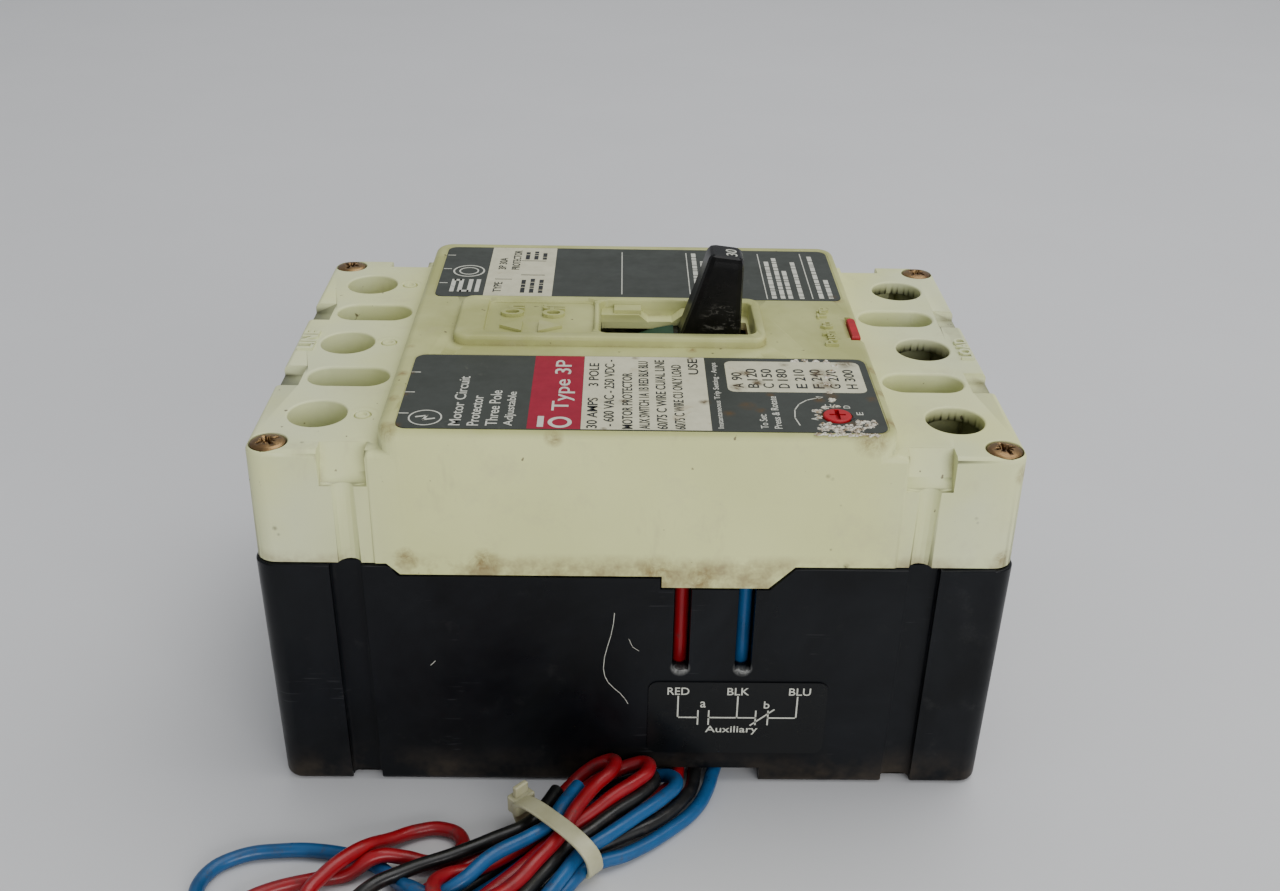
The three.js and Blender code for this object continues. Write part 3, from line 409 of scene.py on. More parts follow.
# ---------------------------------------------------------------- shape helpers
def give(obj, material, slot, body, *nodes):
    """The last steps for a piece: its material, its body and what it stands for. The slot argument is not
    used.
    """
    obj.data.materials.clear()
    obj.data.materials.append(MATERIALS[material])
    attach(obj, body)
    if nodes:
        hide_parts(*nodes)
    return obj


def smooth(obj, angle=38):
    obj.data.shade_smooth()
    obj.data.set_sharp_from_angle(angle=math.radians(angle))
    modifier = obj.modifiers.new("even_normals", "WEIGHTED_NORMAL")
    modifier.keep_sharp = True
    return obj


def new_mesh(name, bm):
    mesh = bpy.data.meshes.new(name)
    bm.to_mesh(mesh)
    bm.free()
    return link(bpy.data.objects.new(name, mesh))


def loft(name, rings):
    """A closed solid through rings of the same number of points, in millimetres."""
    bm = bmesh.new()
    loops = [[bm.verts.new(Vector(point) * MM) for point in ring] for ring in rings]
    count = len(rings[0])
    for low, high in zip(loops, loops[1:]):
        for i in range(count):
            j = (i + 1) % count
            bm.faces.new((low[i], low[j], high[j], high[i]))
    bm.faces.new(list(reversed(loops[0])))
    bm.faces.new(loops[-1])
    bmesh.ops.remove_doubles(bm, verts=bm.verts, dist=1e-7)
    bmesh.ops.recalc_face_normals(bm, faces=bm.faces)
    return new_mesh(name, bm)


def rounded(x0, x1, y0, y1, r, grow=0.0, steps=8):
    """A rounded rectangle, or a circle where the radius is half its size."""
    radius = max(r + grow, 0.05)
    x0, x1, y0, y1 = x0 - grow, x1 + grow, y0 - grow, y1 + grow
    right, left, top, bottom = x1 - radius, x0 + radius, y1 - radius, y0 + radius
    corners = ((right, top), (left, top), (left, bottom), (right, bottom))
    points = []
    for quarter, (cx, cy) in enumerate(corners):
        for step in range(steps + 1):
            turn = math.radians(90 * (quarter + step / steps))
            points.append((cx + radius * math.cos(turn), cy + radius * math.sin(turn)))
    return points


def slab(name, rect, levels, steps=8):
    """A rounded rectangle lofted through (height, growth) levels."""
    return loft(name, [[(x, y, z) for x, y in rounded(*rect, grow, steps)] for z, grow in levels])


def disc(name, x, y, r, levels, steps=12):
    return slab(name, (x - r, x + r, y - r, y + r, r), levels, steps)


def prism(name, outline, axis, low, high):
    """A closed solid with the same outline all along one axis."""
    places = {
        "x": lambda u, v, w: (w, u, v),
        "y": lambda u, v, w: (u, w, v),
        "z": lambda u, v, w: (u, v, w),
    }
    return loft(name, [[places[axis](u, v, w) for u, v in outline] for w in (low, high)])


def rounded_top(low, top, r, grow=0.0, steps=5, draft=0.0):
    """Levels of a body whose top edge is rounded, drawn in by its draft on the way up."""
    levels = [(low, grow)]
    for step in range(steps + 1):
        turn = math.radians(90 * step / steps)
        levels.append((top - r + r * math.sin(turn), grow - draft - r * (1 - math.cos(turn))))
    return levels


def flared(low, top, r, grow=0.0, steps=4):
    """Levels of a cutter whose hole ends in a rounded rim at the top."""
    levels = [(low, grow)]
    for step in range(steps + 1):
        turn = math.radians(90 * step / steps)
        levels.append((top - r + r * math.sin(turn), grow + r * (1 - math.cos(turn))))
    levels.append((top + 3, grow + r))
    return levels


def carve(body, *steps):
    """Applies (operation, tools) steps to a solid and removes the tools."""
    used = []
    for operation, tools in steps:
        for tool in tools:
            modifier = body.modifiers.new(operation.lower(), "BOOLEAN")
            modifier.operation = operation
            modifier.object = tool
            modifier.solver = "MANIFOLD"
            used.append(tool)
    bpy.context.view_layer.update()
    shaped = bpy.data.meshes.new_from_object(body.evaluated_get(bpy.context.evaluated_depsgraph_get()))
    body.modifiers.clear()
    old = body.data
    body.data = shaped
    bpy.data.meshes.remove(old)
    for tool in used:
        bpy.data.objects.remove(tool)
    return body


def copy_of(node, name):
    """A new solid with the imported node's own shape, to be carved further."""
    return link(bpy.data.objects.new(name, welded(NODES[node].data)))


def welded(source):
    bm = bmesh.new()
    bm.from_mesh(source)
    bmesh.ops.remove_doubles(bm, verts=bm.verts, dist=1e-6)
    mesh = bpy.data.meshes.new("welded")
    bm.to_mesh(mesh)
    bm.free()
    return mesh


# ---------------------------------------------------------------- cords
TIE = (-15.5, -75.0)
RUN = (-0.70, -0.71)  # the way the tied bundle runs, away from the casing
LEAD_R = 1.5


def bundle(*points):
    """Points of the tied bundle: along its run from the tie, across it towards the back, and up."""
    x, y = TIE
    along, across = RUN
    return [(x + along * a + across * w, y + across * a - along * w, z) for a, w, z in points]


RED_ROUTE = [
    (9.6, -47.6, 49.9), (9.6, -47.6, 40), (9.6, -47.5, 30), (9.7, -46.3, 20), (9.8, -45.1, 12),
    (9.9, -45.4, 7), (10, -47.8, 2.9), (9.9, -51.4, 1.9), (9.4, -53.8, 1.7),
    *bundle(
        (-22, -2.6, 1.6), (-10, -2.0, 2.2), (0, -1.7, 2.75), (12, -1.7, 1.7), (24, -1.7, 1.7),
        (29, -1.6, 3.0), (33.4, -0.8, 4.7), (37.4, 1.2, 4.8), (39.4, 4.6, 4.8), (37.8, 8.2, 4.6),
        (33, 10.2, 2.6), (26, 10.2, 1.6), (18, 9.9, 1.6), (9, 9.6, 2.0), (0, 8.5, 2.75), (-8, 9.8, 2.6),
        (-14, 11.0, 2.9), (-18.4, 10.6, 4.6), (-21, 8.2, 7.2), (-21.6, 4.9, 9.3), (-18.8, 2.9, 9.8),
        (-13, 2.3, 9.3), (-5, 0.2, 8.8), (0, -1.7, 7.9), (8, -3.2, 7.2), (16, -4.3, 6.4), (23, -3.9, 7.2),
        (27.2, -2.0, 7.9), (28.9, 1.8, 7.9), (27.2, 5.6, 7.6), (23, 7.0, 6.2), (17.5, 5.4, 4.9),
        (10, 3.8, 4.8), (0, 3.4, 5.25), (-9, 5.4, 5.4), (-15.5, 5.9, 5.7), (-20.6, 5.0, 6.3),
        (-24.6, 3.2, 7.3), (-26.6, 0.2, 8.6), (-24.4, -2.3, 9.3), (-20, -2.6, 9.2), (-14.5, -1.8, 8.4),
        (-9, -1.2, 7.0), (0, 0.0, 5.25), (12, -0.9, 4.7), (22, -1.5, 4.7), (28, -2.6, 5.4), (33, -2.8, 6.9),
        (37.6, -1.4, 7.4), (41.6, 1.6, 6.8), (44.9, 5.6, 5.6), (47.2, 10.6, 4.8), (47.5, 16.9, 3.8),
    ),
    (-63.4, -90.5, 4.2), (-60.8, -85.4, 5.0), (-57.2, -81.0, 5.4), (-53.9, -77.6, 5.0), (-49.6, -73.4, 2.9),
    (-44.6, -69.8, 1.8), (-39.4, -68.9, 1.6), (-35.2, -71.8, 1.6), (-35.9, -76.5, 1.6), (-40.4, -78.7, 1.8),
    (-46.0, -78.9, 3.4), (-51.0, -79.8, 4.6), (-57.2, -82.0, 1.7), (-63.5, -83.4, 1.6), (-72, -86.4, 1.6),
    (-78, -90.5, 1.6),
]
BLUE_ROUTE = [
    (22.6, -47.6, 49.9), (22.6, -47.6, 40), (22.6, -47.5, 30), (22.2, -46.3, 20), (21.2, -45.1, 12),
    (20.2, -45.4, 7), (18.9, -47.8, 2.9), (17.6, -51.4, 1.9), (16.4, -56, 1.7), (13.4, -62.5, 1.6),
    *bundle(
        (-20, -12.2, 1.6), (-10, -11.2, 1.9), (0, -8.6, 2.75), (9, -9.6, 1.8), (20, -9.8, 1.6),
        (28, -9.7, 1.6), (32.8, -8.1, 1.6), (34.7, -4.0, 1.6), (32.8, 0, 1.6), (28, 1.7, 1.6),
        (12, 1.7, 1.7), (0, 1.7, 2.75), (-10, 2.4, 2.3), (-19, 3.6, 1.6), (-25.6, 2.6, 1.8),
        (-29.2, -0.2, 3.4), (-30.3, -3.8, 5.0), (-28, -7.2, 6.2), (-23, -8.1, 6.5), (-15, -8.0, 6.5),
        (-7, -7.6, 6.2), (0, -6.8, 5.25), (6, -8.2, 4.9), (12, -9.8, 4.6), (20, -11.6, 4.3),
        (28, -12.4, 2.6),
    ),
    (-36.6, -110.6, 1.6), (-50, -113.6, 1.6), (-66.5, -107.3, 1.6), (-79, -97.5, 1.6), (-85.3, -88.9, 1.6),
    (-85.0, -82.2, 1.6), (-80.1, -77.4, 1.6), (-71.5, -75.4, 1.6), (-62.6, -75.6, 1.6), (-55.4, -77.5, 1.6),
    (-50.4, -80.4, 1.6), (-46.8, -84.0, 1.9), (-43.4, -88.4, 4.9), (-38.6, -90.4, 5.0), (-33.6, -88.4, 6.4),
    *bundle((14.6, 3.6, 7.6), (5, 2.0, 7.9), (0, 1.7, 8.0), (-4.8, 3.4, 8.6), (-11.4, 5.4, 8.6)),
]
BLACK_ROUTE = [
    (16.1, -47.6, 49.9), (16.1, -47.6, 40), (16.1, -47.5, 30), (15.9, -46.3, 20), (15.3, -45.1, 12),
    (14.9, -45.4, 7), (14.3, -47.8, 2.9), (13.6, -51.4, 1.9), (13.0, -55.4, 1.9), (11.4, -60, 3.0),
    *bundle(
        (-20, -9.8, 3.6), (-10, -7.6, 3.4), (0, -5.1, 2.75), (12, -5.4, 1.8), (22, -5.4, 2.2),
        (29, -5.2, 3.9), (35, -4.9, 4.8), (39.2, -4.6, 4.4), (42.8, -2.6, 3.0), (44.2, 1.0, 1.9),
        (42.4, 4.8, 1.6), (38, 6.2, 1.6), (28, 5.4, 1.6), (12, 5.1, 1.7), (0, 5.1, 2.75), (-10, 6.2, 2.5),
        (-18, 6.6, 2.8), (-23, 4.6, 4.1), (-26.2, 1.2, 5.4), (-25.8, -2.8, 6.6), (-21.5, -4.4, 6.9),
        (-12, -4.1, 6.6), (-6.2, -3.9, 6.0), (0, -3.4, 5.25), (8, -4.9, 4.8), (16, -6.8, 4.8),
        (25, -8.4, 4.6), (33, -9.2, 4.8), (41, -6.9, 2.5), (47.6, -1.2, 1.6), (49, 8, 1.6),
        (44.6, 14.6, 1.8), (36, 16.4, 4.4), (27, 14.6, 4.9), (18, 11.6, 4.8), (10, 9.2, 5.0), (0, 7.0, 5.3),
        (-5, 8.4, 5.5), (-9.4, 9.9, 5.7),
    ),
]
LEADS = (
    ("red", RED_ROUTE, "red_wire", ("red_lead", "lead_hank"), 0.52),
    ("blue", BLUE_ROUTE, "blue_wire", ("blue_lead",), 0.44),
    ("black", BLACK_ROUTE, "black_wire", ("black_lead",), 0.38),
)


def add_leads():
    for colour, route, slot, nodes, length in LEADS:
        curve = bpy.data.curves.new(colour + "_cord", "CURVE")
        curve.dimensions = "3D"
        curve.bevel_depth = LEAD_R * MM
        curve.bevel_resolution = 5
        curve.resolution_u = 8
        curve.use_fill_caps = True
        spline = curve.splines.new("BEZIER")
        spline.bezier_points.add(len(route) - 1)
        for point, place in zip(spline.bezier_points, route):
            point.co = Vector(place) * MM
            point.handle_left_type = point.handle_right_type = "AUTO"
        cord = link(bpy.data.objects.new(colour + "_cord", curve))
        give(cord, slot, slot, "casing", *nodes)
        tuple(Vector(route[0]) * MM)


TIE_HALF = 10.6  # half the width of the band's inside, across the bundle
TIE_HEIGHT = 9.9
TIE_MIDDLE = 5.6
TIE_THICK = 1.1
TIE_WIDTH = 3.8
TIE_STEPS = 40
TIE_POWER = 2.8  # between an ellipse, 2, and a rectangle


def tie_section():
    """The band's outline about the bundle, one unit in half width and half height."""
    section = []
    for step in range(TIE_STEPS):
        turn = 2 * math.pi * step / TIE_STEPS
        u, v = math.cos(turn), math.sin(turn)
        reach = (abs(u) ** TIE_POWER + abs(v) ** TIE_POWER) ** (-1 / TIE_POWER)
        section.append((u * reach, v * reach))
    return section


def add_tie():
    """A nylon band about the bundle, with its ratchet head on the back and the cut tail above it."""
    bm = bmesh.new()
    rings = []
    for u, v in tie_section():
        ring = []
        for side, out in ((-1, 0), (-1, 1), (1, 1), (1, 0)):
            w = u * (TIE_HALF + out * TIE_THICK)
            z = TIE_MIDDLE + v * (TIE_HEIGHT / 2 + out * TIE_THICK * 0.7)
            lean = 0.9 * v
            ring.append(bm.verts.new(Vector(bundle((side * TIE_WIDTH / 2 + lean, w, z))[0]) * MM))
        rings.append(ring)
    for ring, after in zip(rings, rings[1:] + rings[:1]):
        for i in range(4):
            j = (i + 1) % 4
            bm.faces.new((ring[i], ring[j], after[j], after[i]))
    bmesh.ops.recalc_face_normals(bm, faces=bm.faces)
    band = new_mesh("tie_band", bm)
    bevel = band.modifiers.new("edge", "BEVEL")
    bevel.width = 0.3 * MM
    bevel.segments = 2
    give(band, "nylon", "nylon", "casing", "cable_tie")
    add_tie_head()
    return smooth(band, 50)


def tie_block(name, middle, half, r):
    """A rounded block square to the bundle, about a point (along, across, up)."""
    a, w, z = middle
    rings = []
    for lift, grow in ((-half[2], -0.3), (-half[2] + 0.3, 0), (half[2] - 0.3, 0), (half[2], -0.3)):
        ring = rounded(a - half[0], a + half[0], w - half[1], w + half[1], r, grow, 3)
        rings.append([bundle((u, v, z + lift))[0] for u, v in ring])
    block = loft(name, rings)
    give(block, "nylon", "nylon", "casing")
    return smooth(block, 40)


def add_tie_head():
    tie_block("tie_head", (-0.6, 11.4, 7.4), (2.6, 1.7, 2.0), 0.6)
    tie_block("tie_tail", (-0.6, 11.5, 10.4), (1.7, 0.6, 1.6), 0.3)


add_camera()
tie = add_tie()
add_leads()


# ---------------------------------------------------------------- print and lettering
def glyphs(text, weight=0.006):
    """The outline faces of a line of lettering, one unit tall, as points and faces."""
    curve = bpy.data.curves.new("glyphs", "FONT")
    curve.body = text
    curve.extrude = 0.5
    curve.offset = weight
    curve.resolution_u = 3
    source = link(bpy.data.objects.new("glyphs", curve))
    mesh = bpy.data.meshes.new_from_object(source)
    points = [tuple(v.co) for v in mesh.vertices]
    faces = [tuple(p.vertices) for p in mesh.polygons]
    bpy.data.objects.remove(source)
    bpy.data.meshes.remove(mesh)
    return points, faces


class Print:
    """Thin raised shapes of one colour, gathered into one piece."""

    def __init__(self, thick=0.04, weight=0.006):
        self.bm = bmesh.new()
        self.thick = thick
        self.weight = weight

    def solid(self, points, faces):
        verts = [self.bm.verts.new(Vector(p) * MM) for p in points]
        for face in faces:
            self.bm.faces.new([verts[i] for i in face])

    def text(self, words, place, length, height, z):
        """Lettering that fits a box. place(u, v) gives x and y for a point along and above the line."""
        points, faces = glyphs(words, self.weight)
        left = min(p[0] for p in points)
        right = max(p[0] for p in points)
        low = min(p[1] for p in points)
        high = max(p[1] for p in points)
        fitted = []
        for u, v, w in points:
            x, y = place((u - left) / (right - left) * length, (v - low) / (high - low) * height)
            fitted.append((x, y, z + (w + 0.5) * self.thick))
        self.solid(fitted, faces)

    def column(self, words, x, y0, y1, width, z):
        """A line that reads away from the camera, with its letters' tops to the left."""
        self.text(words, lambda u, v: (x + width / 2 - v, y0 + u), y1 - y0, width, z)

    def outline(self, points, z):
        """A flat shape of any convex outline."""
        count = len(points)
        low = [(x, y, z) for x, y in points]
        high = [(x, y, z + self.thick) for x, y in points]
        sides = [(i, (i + 1) % count, count + (i + 1) % count, count + i) for i in range(count)]
        self.solid(low + high, [tuple(reversed(range(count))), tuple(range(count, 2 * count)), *sides])

    def bar(self, x0, x1, y0, y1, z):
        self.outline([(x0, y0), (x1, y0), (x1, y1), (x0, y1)], z)

    def stroke(self, points, width, z):
        """A line of that width through the points."""
        for (ax, ay), (bx, by) in zip(points, points[1:]):
            along = Vector((bx - ax, by - ay)).normalized() * width / 2
            nx, ny = -along.y, along.x
            self.outline(
                [(ax - along.x - nx, ay - along.y - ny), (bx + along.x - nx, by + along.y - ny),
                 (bx + along.x + nx, by + along.y + ny), (ax - along.x + nx, ay - along.y + ny)], z
            )

    def ring(self, x, y, r, width, z, steps=30):
        radii = (r - width / 2, r + width / 2)
        points = []
        for step in range(steps):
            turn = 2 * math.pi * step / steps
            for radius in radii:
                for high in (z, z + self.thick):
                    points.append((x + radius * math.cos(turn), y + radius * math.sin(turn), high))
        faces = []
        for step in range(steps):
            near, far = 4 * step, 4 * ((step + 1) % steps)
            for first, second in ((0, 2), (2, 3), (3, 1), (1, 0)):
                faces.append((near + first, near + second, far + second, far + first))
        self.solid(points, faces)

    def finish(self, name, material, slot, body, *nodes):
        bmesh.ops.recalc_face_normals(self.bm, faces=self.bm.faces)
        return give(new_mesh(name, self.bm), material, slot, body, *nodes)


# ---------------------------------------------------------------- cover
END_X = 76.0
END_Y = 51.9
FACE_X = 52.6
WALL_Y = 52.15  # half depth of the proud centre face
BLOCK_X = 50.3
DRAFT = 0.55
SHOULDER_R = 1.3  # rounding of the shoulder's top edge
TOP_R = 1.7  # and of the block's
RIM = (-39.7, 28.2, -12.2, 12.2, 3.4)
PANEL = (-33, -9.5, -9.4, 10.2, 1.6)
POCKET = (-8.2, 25.6, -8.9, 9.3, 2.0)
HANDLE_SLOT = (-7.9, 24.6, -5.0, 5.0, 0.6)
FRONT_BED = (-46.5, 48.0, -50.7, -16.6, 2.4)
REAR_BED = (-46.9, 48.0, 15.2, 48.7, 2.4)
TERMINAL_R = 5.9
WELL_HALF = 8.55
WELL_R = 4.5
NOTCH_X = (52.1, 61.3)
NOTCH_FOOT = 73.5
END_NOTCH_X = (70.4, 77.5)
END_NOTCH_Y = (12.5, 17.2, 22.3)
END_NOTCH_FLOORS = (76.55, 78.45)
PLUG_X = -55.0
PLUGS = ((-35.0, 3.2), (0.7, 2.9), (35.3, 2.8))  # place across, radius of the dimple


def cover_outside():
    low = JOINT_Z - 8
    shoulder = rounded_top(low, SHOULDER_Z, SHOULDER_R, 0, 5, DRAFT)
    top = rounded_top(low, BLOCK_Z, TOP_R, 0, 6, DRAFT)
    ends = slab("cover_cast", (-END_X, END_X, -END_Y, END_Y, 4.6), shoulder)
    face = slab("face", (-FACE_X, FACE_X, -WALL_Y, WALL_Y, 1.2), shoulder)
    block = slab("block", (-BLOCK_X, BLOCK_X, -WALL_Y, WALL_Y, 4.8), top)
    rim = slab("rim", RIM, rounded_top(BELOW, RIM_Z, 0.9, 0, 5, 0.35))
    return carve(ends, ("UNION", [face, block, rim]))


def side_notch(sx, sy):
    """The step beside each cover screw, open to the side face, with a rounded inner corner."""
    outside = WIDTH / 2 + 2
    outline = [
        (46.7, SHOULDER_Z + 1), (46.9, SHOULDER_Z - 0.1), (49.0, 75.6), (49.5, 74.5), (50.4, 73.7),
        (51.2, NOTCH_FOOT), (outside, NOTCH_FOOT), (outside, SHOULDER_Z + 1),
    ]
    x0, x1 = sorted(sx * x for x in NOTCH_X)
    return prism("notch", [(sy * u, v) for u, v in outline], "x", x0, x1)


def end_notch(sx, sy):
    """Two steps down to the end face, the far one higher."""
    near, middle, far = sorted(sy * y for y in END_NOTCH_Y)
    x0, x1 = sorted(sx * x for x in END_NOTCH_X)
    steps = []
    for y0, y1, floor in zip((near, middle), (middle + 0.1, far), END_NOTCH_FLOORS):
        outline = [(y0, floor), (y1, floor), (y1, SHOULDER_Z + 1.1), (y0, SHOULDER_Z + 1.1)]
        steps.append(prism("step", outline, "x", x0, x1))
    return steps


def screw_recess(sx, sy):
    return disc("recess", sx * SCREW_X, sy * SCREW_Y, 3.75, flared(78.4, SHOULDER_Z, 0.3))


def cover_holes():
    cuts = []
    for sx in SIGNS:
        for y in POLES:
            cuts.append(disc("hole", sx * TERMINAL_X, y, TERMINAL_R, flared(58, SHOULDER_Z, 0.45), 16))
        for sy in SIGNS:
            x, y = sx * WELL_X, sy * WELL_Y
            rect = (x - WELL_HALF, x + WELL_HALF, y - WELL_R, y + WELL_R, WELL_R)
            cuts.append(slab("well", rect, flared(19, SHOULDER_Z, 0.6), 12))
            cuts.append(side_notch(sx, sy))
            cuts.extend(end_notch(sx, sy))
            cuts.append(screw_recess(sx, sy))
            side = sy * (WIDTH / 2 + 0.2)
            cuts.append(disc("channel", sx * CHANNEL_X, side, 2.45, [(50, 0), (74.2, 0)], 12))
    return cuts


def small_wells():
    """Shallow round dimples between the line holes and the block, each with its sunk plug."""
    cuts = []
    floor = SHOULDER_Z - 0.22
    for y, wide in PLUGS:
        cuts.append(disc("dimple", PLUG_X, y, wide, [(floor, -0.15), (SHOULDER_Z, 0), (82, 0)], 10))
        cuts.append(disc("plug_hole", PLUG_X, y, 1.75, flared(79.3, floor, 0.25), 10))
    return cuts


def label_bed(rect):
    """The shallow recess that a label lies in."""
    return slab("bed", rect, [(LABEL_Z - 0.3, -0.1), (LABEL_Z - 0.05, 0), (ABOVE, 0)])


def escutcheon_cuts():
    panel = slab("panel", PANEL, [(RIM_Z - 0.7, -0.2), (RIM_Z, 0.1), (ABOVE, 0.1)])
    pocket = slab("pocket", POCKET, [(84.6, -0.5), (RIM_Z - 0.4, 0.0), (RIM_Z, 0.35), (ABOVE, 0.35)])
    slot = slab("slot", HANDLE_SLOT, [(BELOW, 0), (ABOVE, 0)])
    return [panel, pocket, slot]


def dial_way():
    return disc("way", DIAL_X, DIAL_Y, 3.1, [(BELOW, 0), (ABOVE, 0)], 8)


def button_notch():
    outline = [(46.5, -7.0), (53, -7.0), (53, 6.4), (50.2, 6.4), (47.4, 5.2), (46.5, 3.6)]
    return prism("button_notch", outline, "z", 81.4, ABOVE)


def raised_words():
    """Moulded lettering on the cover."""
    words = Print(0.7, 0.028)
    shoulder = SHOULDER_Z - 0.1
    words.column("LINE", -72.6, -4.6, 5.4, 3.4, shoulder)
    words.column("LOAD", 73.0, -5.6, 5.0, 2.9, shoulder)
    for text, y0, y1 in (("Push", -10.4, -3.2), ("to", -1.2, 1.9), ("Trip", 4.5, 9.9)):
        words.column(text, 42.0, y0, y1, 2.9, BLOCK_Z - 0.1)
    panel = RIM_Z - 0.8
    words.column("On", -27.5, 0.6, 6.2, 5.2, panel)
    words.column("Off", -18.4, 0.2, 6.6, 5.0, panel)
    words.outline([(-29.8, -5.2), (-24.9, -8.1), (-24.9, -2.3)], panel)
    words.outline([(-16.2, -5.2), (-21.3, -2.3), (-21.3, -8.1)], panel)
    return words.finish("cover_words", "cream_moulding", "cream_moulding", "casing")


def add_cover():
    cover = copy_of("cover", "cover_shell")
    cuts = cover_holes() + small_wells() + escutcheon_cuts() + [button_notch()]
    cuts.append(label_bed(FRONT_BED))
    cuts.append(label_bed(REAR_BED))
    cuts.append(dial_way())
    filler = slab("button_side", (44.8, 46.7, -6.2, 6.2, 0.1), [(81.2, 0), (BLOCK_Z - 0.01, 0)], 2)
    carve(cover, ("INTERSECT", [cover_outside()]), ("UNION", [filler]), ("DIFFERENCE", cuts))
    give(cover, "cream_moulding", "cream_moulding", "casing", "cover")
    smooth(cover)
    raised_words()


def add_slot_ledges():
    """Steps inside the handle slot, which leave a tapered window over the position strip."""
    low, top, front, back = 84.5, 86.3, 4.6, 9.0
    left = prism("slot_ledges", [(-7.9, low), (2.7, low), (0.5, top), (-7.9, top)], "y", front, back)
    right = prism("right", [(7.8, low), (20.5, low), (20.5, top), (10.2, top)], "y", front, back)
    rest = prism("rest", [(-5.0, top - 0.2), (1.0, top - 0.2), (1.0, 87.0), (-5.0, 87.0)], "y", 5.6, 8.9)
    ledge = carve(left, ("UNION", [right, rest]))
    give(ledge, "cream_moulding", "cream_moulding", "casing")
    smooth(ledge)


# ---------------------------------------------------------------- base
BASE = (-76.2, 76.2, -WIDTH / 2, WIDTH / 2, 4.4)
FOOT_R = 1.4  # rounding of the bottom edge
GROOVE_X = 57.75
GROOVE_HALF = 3.25
ARCH_HALF = 3.9
LEAD_SLOT_R = 1.75


def base_outside():
    levels = []
    for step in range(6):
        turn = math.radians(90 * (1 - step / 5))
        levels.append((FOOT_R - FOOT_R * math.sin(turn), -0.3 - FOOT_R * (1 - math.cos(turn))))
    levels.append((JOINT_Z - 0.35, -0.06))
    levels.append((JOINT_Z, -0.35))
    return slab("base_cast", BASE, levels, 10)


def foot_arch(x):
    """The low arch where a side groove meets the ground."""
    arch = []
    for degrees in range(0, 181, 15):
        turn = math.radians(degrees)
        arch.append((x + ARCH_HALF * math.cos(turn), 1.7 * math.sin(turn) - 0.2))
    return arch + [(x - ARCH_HALF, -2), (x + ARCH_HALF, -2)]


def base_cuts():
    cuts = []
    for sx in SIGNS:
        for sy in SIGNS:
            x = sx * GROOVE_X
            low, high = sorted((sy * 50.2, sy * 55))
            rect = (x - GROOVE_HALF, x + GROOVE_HALF, low, high, 1.0)
            cuts.append(slab("groove", rect, [(-2, 0), (58, 0)], 5))
            low, high = sorted((sy * 49.0, sy * 55))
            cuts.append(prism("arch", foot_arch(x), "y", low, high))
        for y in POLES:
            x0, x1 = sorted((sx * 71, sx * 78))
            outline = rounded(y - 6.6, y + 6.6, 12.4, 26.1, 1.6, 0, 5)
            cuts.append(prism("wire_way", outline, "x", x0, x1))
    for x in LEAD_SLOT_X:
        outline = rounded(x - LEAD_SLOT_R, x + LEAD_SLOT_R, 30.6, 58, LEAD_SLOT_R, 0, 6)
        cuts.append(prism("lead_slot", outline, "y", -54, -47))
    return cuts


def add_base():
    base = copy_of("base", "base_shell")
    carve(base, ("INTERSECT", [base_outside()]), ("DIFFERENCE", base_cuts()))
    give(base, "black_moulding", "black_moulding", "casing", "base")
    smooth(base)


add_cover()
add_slot_ledges()
add_base()


# ---------------------------------------------------------------- labels
SHEET_Z = 85.66
INK_Z = SHEET_Z + 0.2
TITLES = ("Motor Circuit", "Protector", "Three Pole", "Adjustable")
RATINGS = (
    ("30 AMPS     3 POLE", -8.9, -49.9, -20.5), ("- 600 VAC - 250 VDC -", -5.7, -49.0, -18.8),
    ("MOTOR PROTECTOR", -2.1, -50.0, -25.1), ("AUX SWITCH 1A 1B RED BLK BLU", 1.2, -50.0, -19.3),
    ("60/75 C WIRE CU/AL LINE", 4.6, -50.0, -18.6), ("60/75 C WIRE CU ONLY LOAD", 8.0, -50.0, -20.9),
)
SETTINGS = (
    ("A", "90", 20.3), ("B", "120", 23.4), ("C", "150", 26.5), ("D", "180", 29.6),
    ("E", "210", 33.2), ("F", "240", 36.6), ("G", "270", 40.0), ("H", "300", 43.4),
)

def patch(name, rect, z, material, *nodes):
    """One coloured sheet of a label, with rounded corners."""
    sheet = slab(name, rect, [(z, 0), (z + 0.16, 0), (z + 0.2, -0.05)], 4)
    return give(sheet, material, "label_sheet", "casing", *nodes)


def emblem(ink, x, y, r):
    """A plain ring with a bolt inside it."""
    ink.ring(x, y, r, 0.3, INK_Z)
    bolt = ((-0.55, 0.1), (0.08, 0.28), (-0.08, -0.28), (0.55, -0.1))
    ink.stroke([(x + r * u, y + r * v) for u, v in bolt], 0.45, INK_Z)


def front_sheets():
    grey = patch("front_sheet", (-46.2, 47.7, -50.4, -16.9, 2.2), SHEET_Z - 0.02, "label_grey", "front_label")
    carve(grey, ("DIFFERENCE", [dial_way()]))
    patch("front_red", (-21.25, -11.0, -50.3, -17.0, 0.1), SHEET_Z, "label_red")
    patch("front_cream", (-11.0, 14.0, -50.3, -17.0, 0.1), SHEET_Z, "label_cream")
    patch("front_table", (18.1, 46.2, -33.2, -18.6, 1.6), SHEET_Z + 0.01, "label_cream")


